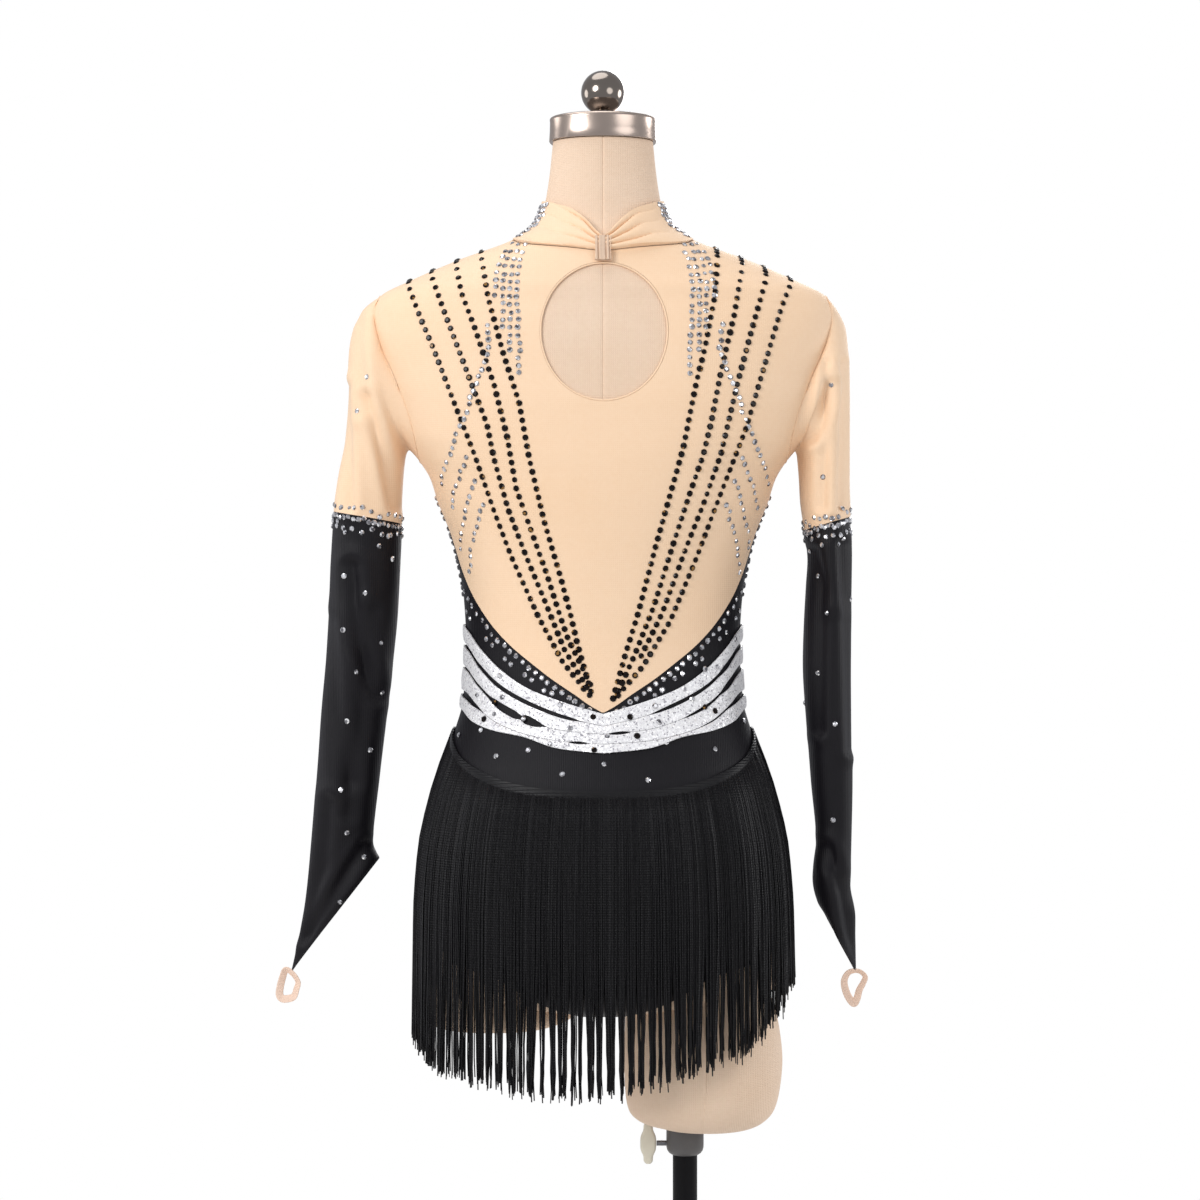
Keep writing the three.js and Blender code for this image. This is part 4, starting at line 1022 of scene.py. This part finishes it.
def seat(spots, surface):
    # The nearest surface point by sight, slid along its tangent plane to the spot
    spots = np.array(spots, float)
    points, normals = (part.reshape(-1, 3) for part in surface)
    facing, farthest = normals[:, 1] < -0.05, 4  # only what faces the camera; a stone slides 4 mm at most
    points, normals = points[facing], normals[facing]
    flat = seen(points)
    parts = np.array_split(spots, len(spots) // 40 + 1)
    nearest = np.concatenate([np.argmin(((flat[None] - part[:, None]) ** 2).sum(-1), 1) for part in parts])
    point, normal = points[nearest], normals[nearest]
    away = (point[:, 1] - eye["y"]) / -eye["y"]
    miss = (spots - flat[nearest]) / eye["perMm"] * away[:, None]
    move = np.stack([miss[:, 0], np.zeros(len(miss)), -miss[:, 1]], -1)
    move[:, 1] = -(move * normal).sum(1) / normal[:, 1]
    reach = np.linalg.norm(move, axis=1)
    move *= np.minimum(1, farthest / np.maximum(reach, 1e-9))[:, None]
    return point + move, normal


def along(line, pitch, offset=0.0):
    # Points at an even pitch along a polyline, set off to one side
    line = np.array(line, float)
    way = wayAlong(line)
    at = np.arange(pitch / 2, way[-1], pitch)
    points = np.stack([np.interp(at, way, line[:, k]) for k in (0, 1)], -1)
    ahead = unit(np.stack([np.interp(at + 1, way, line[:, k]) - np.interp(at - 1, way, line[:, k])
                           for k in (0, 1)], -1))
    return points + offset * np.stack([-ahead[:, 1], ahead[:, 0]], -1)


stoneCut = {"sides": 8, "rings": [[0.9, -0.05], [1.0, 0.2], [0.52, 0.62]], "uneven": 0.06}


def stones(name, points, normals, radius):
    # A flat-backed stone: an eight-sided girdle, a sloping crown and a flat table
    count = len(points)
    normals = unit(normals)
    across = unit(np.cross(normals, [0.0, 0.0, 1.0]))
    other = np.cross(normals, across)
    sides, shape = stoneCut["sides"], stoneCut["rings"]
    turn = (fullTurn(sides)[None, :] + rng.uniform(0, 1, count)[:, None])[..., None]
    radius = (radius * (1 + stoneCut["uneven"] * rng.normal(0, 1, count)))[:, None, None]
    spoke = np.cos(turn) * across[:, None] + np.sin(turn) * other[:, None]
    rings = [points[:, None] + radius * (size * spoke + height * normals[:, None]) for size, height in shape]
    piece = makePiece(name, np.stack(rings, 1), copiedFaces(count, len(shape), sides))
    # A random tone for each face, which the crystal materials turn into painted reflections and painted
    # glints
    tone = piece.data.attributes.new("tone", "FLOAT", "FACE")
    tone.data.foreach_set("value", rng.uniform(0, 1, len(piece.data.polygons)).astype(np.float32))
    return piece


# Radius, pitch and heights in millimetres; steps, offsets and the middle as seen in the photograph
stoneRows = {"jetRadius": 2.7, "jetPitch": 7.7, "jetStep": 8.75, "jetFrontFrom": 1240, "silverRadius": 2.45,
             "silverStep": 7.6, "edgeStep": 8.2, "edgeOffsets": (5, 13), "uneven": 0.6, "middle": 604.5}
jetLines = [
    [(416, 278), (408, 285), (420, 317), (434, 350), (455, 405), (475, 456), (494, 511), (511, 556),
     (538, 616), (562, 661), (583, 688), (593, 699)],
    [(438, 271), (431, 275), (445, 314), (467, 372), (487, 425), (494, 459), (508, 509), (526, 556),
     (546, 604), (564, 649), (590, 693)],
    [(465, 259), (456, 265), (461, 292), (475, 329), (494, 385), (507, 437), (516, 488), (533, 536),
     (547, 575), (560, 616), (568, 639), (591, 686)],
    [(487, 250), (481, 255), (488, 298), (503, 353), (519, 403), (529, 458), (544, 521), (561, 579),
     (570, 613), (578, 647), (593, 699)],
    [(712, 252), (717, 261), (715, 294), (705, 347), (696, 383), (683, 448), (669, 498), (655, 548),
     (638, 613), (625, 655), (612, 702)],
    [(738, 262), (742, 268), (734, 315), (721, 370), (711, 422), (703, 455), (689, 495), (673, 544),
     (653, 608), (634, 656), (616, 696)],
    [(771, 275), (766, 279), (752, 328), (737, 384), (721, 453), (704, 502), (685, 550), (662, 613),
     (641, 656)],
    [(796, 275), (791, 283), (782, 305), (767, 356), (746, 428), (734, 459), (715, 508), (697, 556),
     (670, 621), (643, 666), (612, 702)],
]
silverColumns = [
    [(458, 430), (450, 454), (442, 472), (440, 489)], [(468, 454), (461, 473), (454, 492), (451, 514)],
    [(476, 478), (471, 489), (466, 507), (461, 534), (461, 552)],
    [(484, 501), (478, 520), (472, 546), (470, 572)],
    [(526, 241), (520, 262), (516, 285), (517, 310), (519, 345), (519, 378)],
    [(520, 241), (513, 262), (509, 285), (510, 310), (510, 353)],
    [(514, 241), (506, 262), (502, 285), (503, 310), (503, 332)],
    [(507, 248), (500, 262), (495, 282), (494, 300)],
    [(487, 321), (489, 348), (480, 374), (470, 397), (466, 414), (458, 430)],
]


def overShoulder(spot):
    # A line of stones from a place on the back over the shoulder to the same place on the front
    x, z = spot[0], spot[2]
    start = abs(float(backAngle(np.array([x]), z)[0]))
    angle = np.linspace(start, math.pi - start, 400)
    level = np.linspace(1384, 1446, 400)
    width = bodyHalf(level)[None, :] * np.sin(angle)[:, None] ** (2 / bodySquare(level))[None, :]
    z = level[np.argmin(np.abs(width - abs(x)), axis=1)]
    z = np.convolve(np.pad(z, 20, mode="edge"), np.ones(41) / 41, mode="valid")
    path, normals = withNormals(np.sign(x) * angle, z)
    way = wayAlong(path)
    pitch = stoneRows["jetPitch"]
    at = np.arange(pitch, way[-1] - pitch / 2, pitch)
    chosen = np.searchsorted(way, at)
    return path[chosen], normals[chosen]


def collarSides():
    # Rows of stones close together on both sides of the neckband
    spots = []
    for row, height in enumerate(np.arange(1444, 1478, 4.9)):
        turn = np.radians(np.arange(62, 119, 5.0) + 2.5 * (row % 2))
        for angle in (turn, -turn):
            fits = height < edges["collarTop"](angle) - 2
            fits &= height > edges["collarSeam"](angle) + 2
            spots.append(np.stack([angle[fits], np.full(fits.sum(), height)], -1))
    angle, z = np.concatenate(spots).T
    return withNormals(angle, z, clothWall + 0.1)


def blackEdge(reach):
    # The black cloth's edge on the back, as it is seen, up to an angle on both sides
    turns = np.radians(np.linspace(-reach, reach, 200))
    z = lineHeight(edges["blackTop"], turns)
    return seen(onBody(bodyAngle(turns, z), z))


stoneSpots = {
    "darkOnBelt": [(593, 717), (484, 719), (630, 717), (715, 711), (705, 707), (494, 702), (594, 750),
                   (637, 736)],
    "belowBelt": [(459, 735), (481, 730), (496, 756), (528, 750), (562, 774), (604, 764), (648, 780),
                  (666, 742), (715, 749), (726, 718), (744, 721)],
    "onBelt": [(500, 676), (570, 728), (477, 695), (502, 697), (494, 714), (523, 719), (550, 744),
               (560, 705), (607, 736), (659, 722), (655, 706), (705, 669), (692, 699), (684, 689),
               (717, 667), (735, 639)],
    "sleeves": [
        [(367, 377), (357, 411)],
        [(338, 521), (345, 532), (388, 536), (379, 546), (392, 559), (344, 576), (365, 593), (343, 630),
         (381, 643), (356, 672), (382, 693), (347, 721), (370, 750), (341, 790), (347, 833), (364, 857),
         (340, 902)],
        [(831, 385), (823, 477)],
        [(810, 551), (822, 545), (838, 544), (843, 539), (818, 576), (850, 599), (827, 613), (818, 673),
         (805, 703), (835, 724), (833, 820)],
    ],
}
sleeveBorders = ((1, 2, 3), (1, 7, 6), (3, 2, 3), (3, 7, 6), (0, 106, 5), (2, 106, 5))  # sleeve, row, stride


def makeJets(back, beltFace):
    # The lines of black stones: up the back, over the shoulders and down the front as on the back
    points, normals = seat(np.concatenate([along(line[1:], stoneRows["jetStep"]) for line in jetLines]), back)
    x, z = points[points[:, 2] > stoneRows["jetFrontFrom"]][:, [0, 2]].T
    tops = seat([line[1] for line in jetLines], back)[0]
    sets = [(points, normals), withNormals(math.pi - backAngle(x, z), z), *map(overShoulder, tops),
            seat(stoneSpots["darkOnBelt"], beltFace)]
    return stones("jetCrystals", *map(np.concatenate, zip(*sets)), stoneRows["jetRadius"])


def makeSilver(back, beltFace):
    # Columns on both sides of the mesh, two rows along the black edge, and single stones
    mirrored = [[(2 * stoneRows["middle"] - x, y) for x, y in line] for line in silverColumns]
    first, second = (along(blackEdge(reach), stoneRows["edgeStep"], offset)
                     for reach, offset in zip((90, 84), stoneRows["edgeOffsets"]))
    kept = np.sin(np.arange(len(second)) * 1.9) > -0.35  # the second row is broken
    spots = np.concatenate([*(along(line, stoneRows["silverStep"]) for line in silverColumns + mirrored),
                            first, second[kept]])
    sets = [seat(spots + rng.normal(0, stoneRows["uneven"], spots.shape), back), collarSides(),
            seat(stoneSpots["belowBelt"], backSurface(930, 1010)), seat(stoneSpots["onBelt"], beltFace)]
    sets += [seat(part, surface) for part, surface in zip(stoneSpots["sleeves"], surfaces)]
    for index, row, stride in sleeveBorders:
        points, normals = surfaces[index]
        chosen = np.arange(row % 3, 126, stride)
        uneven = rng.normal(0, 1, (len(chosen), 3)) * [0, 0, stride / 3]
        sets.append((points[row, chosen] + uneven, normals[row, chosen]))
    return stones("silverCrystals", *map(np.concatenate, zip(*sets)), stoneRows["silverRadius"])


surfacesSeen = backSurface(1000, 1475), backSurface(980, 1100, 2.9)
jetStones = finishPiece(makeJets(*surfacesSeen), jetCrystal, sharp=0)
silverStones = finishPiece(makeSilver(*surfacesSeen), silverCrystal, sharp=0)
print("crystals made")

print("dress pieces made")

# Stand

clampHeight = 632.5
standProfiles = {
    "standPole": [[10, 4.3], [11, 5], [11, 784], [10, 785]],
    "standBase": [[164, 0], [168, 0.6], [170, 2.4], [170, 7], [169, 9], [166.5, 10], [60, 10.6], [26, 11.2],
                  [21.5, 12.6], [20, 15], [19.6, 21.5], [19, 23.4], [17.4, 24], [11.3, 24], [11.3, 4]],
    "poleCollar": [[11.3, 623], [12.6, 623], [14.6, 624.4], [16, 626.4], [16.7, 629], [16.8, 632],
                   [16.8, 645.6], [16.2, 646.4], [15.4, 646.7], [11.3, 646.7]],
}
lever = {"x": 40.7, "halfHeight": 18.2, "end": 4.2, "belly": 3.0, "bellyReach": 9.5, "thick": 4.4,
         "roundFrom": 15.2, "roundOver": 3.2}
screw = {"radius": 2.4, "thread": 0.18, "turns": 12, "from": -25.6, "to": -11.3}


def makeStand():
    for name, node, around, sharp in (("standPole", "stand_pole", 64, 40),
                                      ("standBase", "stand_base", 128, 35)):
        piece = solidPiece(name, turnedRings(standProfiles[name], around), shift=0)
        finishPiece(piece, blackPaint, "stand", [node], sharp)
    rings = turnedRings(standProfiles["poleCollar"], 64)
    ring = makePiece("poleCollar", rings, ringFaces(*rings.shape[:2]), shift=0)
    hole = turnedRings([[2.8, 0], [2.8, 30]], 32)[..., [2, 0, 1]]
    carve(ring, solidPiece("hole", hole * [-1, 1, 1] + [0, 0, clampHeight], shift=0))
    finishPiece(ring, greyPlastic, replaced=["pole_collar"], sharp=35)


def makeClamp():
    # A moulded lever, widest where the screw goes in and rounded at both ends, and a threaded rod
    reach = lever["halfHeight"]
    height = np.linspace(-reach, reach, 61)
    half = lever["end"] + lever["belly"] * np.exp(-(height / lever["bellyReach"]) ** 4)
    beyond = ((np.abs(height) - lever["roundFrom"]) / lever["roundOver"]).clip(0)
    half *= np.clip(1 - beyond ** 2 * 0.55, 0.2, 1)
    turn = fullTurn(48)
    x = lever["x"] + half[:, None] * power(np.cos(turn), 0.6)
    y = lever["thick"] * power(np.sin(turn), 0.6) * (half / (lever["end"] + lever["belly"]))[:, None] ** 0.25
    rings = np.stack([x, y, clampHeight + np.broadcast_to(height[:, None], x.shape)], -1)
    finishPiece(solidPiece("clampLever", rings), ivoryPlastic, "clamp", ["clamp_lever"], 55)
    way = np.linspace(0, 1, 90)
    radius = screw["radius"] - screw["thread"] * np.cos(way * 2 * math.pi * screw["turns"])
    x = mix(screw["from"], screw["to"], way)
    ring = turnedRings(np.stack([radius, x], -1), 32)[..., [2, 0, 1]] + [0, 0, clampHeight]
    finishPiece(solidPiece("clampScrew", ring, shift=0), steel, "clamp", ["clamp_screw"], 60)


makeStand()
makeClamp()
print("stand made")

# Setting: a pale floor, soft light and the photograph's view

lamps = [  # name, place, size, strength
    ("keyLight", (-1.9, -2.1, 2.2), 1.4, 47), ("fillLight", (1.6, -2.3, 1.6), 1.6, 13),
    ("topLight", (-0.4, 0.1, 3.2), 1.6, 15), ("frontLight", (0.6, 2.6, 2.0), 1.6, 34),
    ("rightEdge", (2.6, 0.5, 1.5), 1.2, 20), ("leftEdge", (-2.6, 0.5, 1.5), 1.2, 9),
]
lampAim = np.array([-0.07, 0.0, 1.15])
view = {"lens": 80, "sensor": 36, "place": (-0.0765, -2.4, 1.1212)}


def makeSetting():
    floorRings = turnedRings([[1.0, 0.0], [2300.0, 0.0], [2300.0, -6.0], [1.0, -6.0]], 96)
    floor = solidPiece("floor", floorRings - [0, 0, 0.5], shift=0)
    material = clothMaterial("PaleFloor", "#e6e4e1", "#dfddd9", 12, bump=0.02, patches=400, Roughness=0.7)
    floor.data.materials.append(material)
    world = bpy.data.worlds.new("studio")
    bpy.context.scene.world = world
    world.use_nodes = True
    tree = world.node_tree
    tree.nodes.clear()
    lit = addNode(tree, "ShaderNodeBackground", {"Color": (0.93, 0.95, 1.0, 1.0), "Strength": 0.5})
    shown = addNode(tree, "ShaderNodeBackground", {"Color": (1.0, 1.0, 1.0, 1.0), "Strength": 1.0})
    ray = addNode(tree, "ShaderNodeLightPath")
    choice = addNode(tree, "ShaderNodeMixShader", {
        0: ray.outputs["Is Camera Ray"], 1: lit.outputs[0], 2: shown.outputs[0]})
    addNode(tree, "ShaderNodeOutputWorld", {"Surface": choice.outputs[0]})
    for name, place, size, strength in lamps:
        light = bpy.data.lights.new(name, "AREA")
        light.shape, light.size, light.energy = "DISK", size, strength
        lamp = bpy.data.objects.new(name, light)
        lamp.location = place
        aim = lampAim - np.array(place)
        lamp.rotation_euler = (math.atan2(math.hypot(aim[0], aim[1]), -aim[2]), 0,
                               math.atan2(aim[1], aim[0]) - math.pi / 2)
        bpy.context.scene.collection.objects.link(lamp)


def makeCamera():
    lens = bpy.data.cameras.new("camera")
    lens.lens, lens.sensor_width = view["lens"], view["sensor"]
    camera = bpy.data.objects.new("camera", lens)
    camera.location = view["place"]
    camera.rotation_euler = (math.pi / 2, 0, 0)
    bpy.context.scene.collection.objects.link(camera)
    bpy.context.scene.camera = camera
    bpy.context.scene.view_settings.view_transform = "Standard"


makeSetting()
makeCamera()
print("setting made")
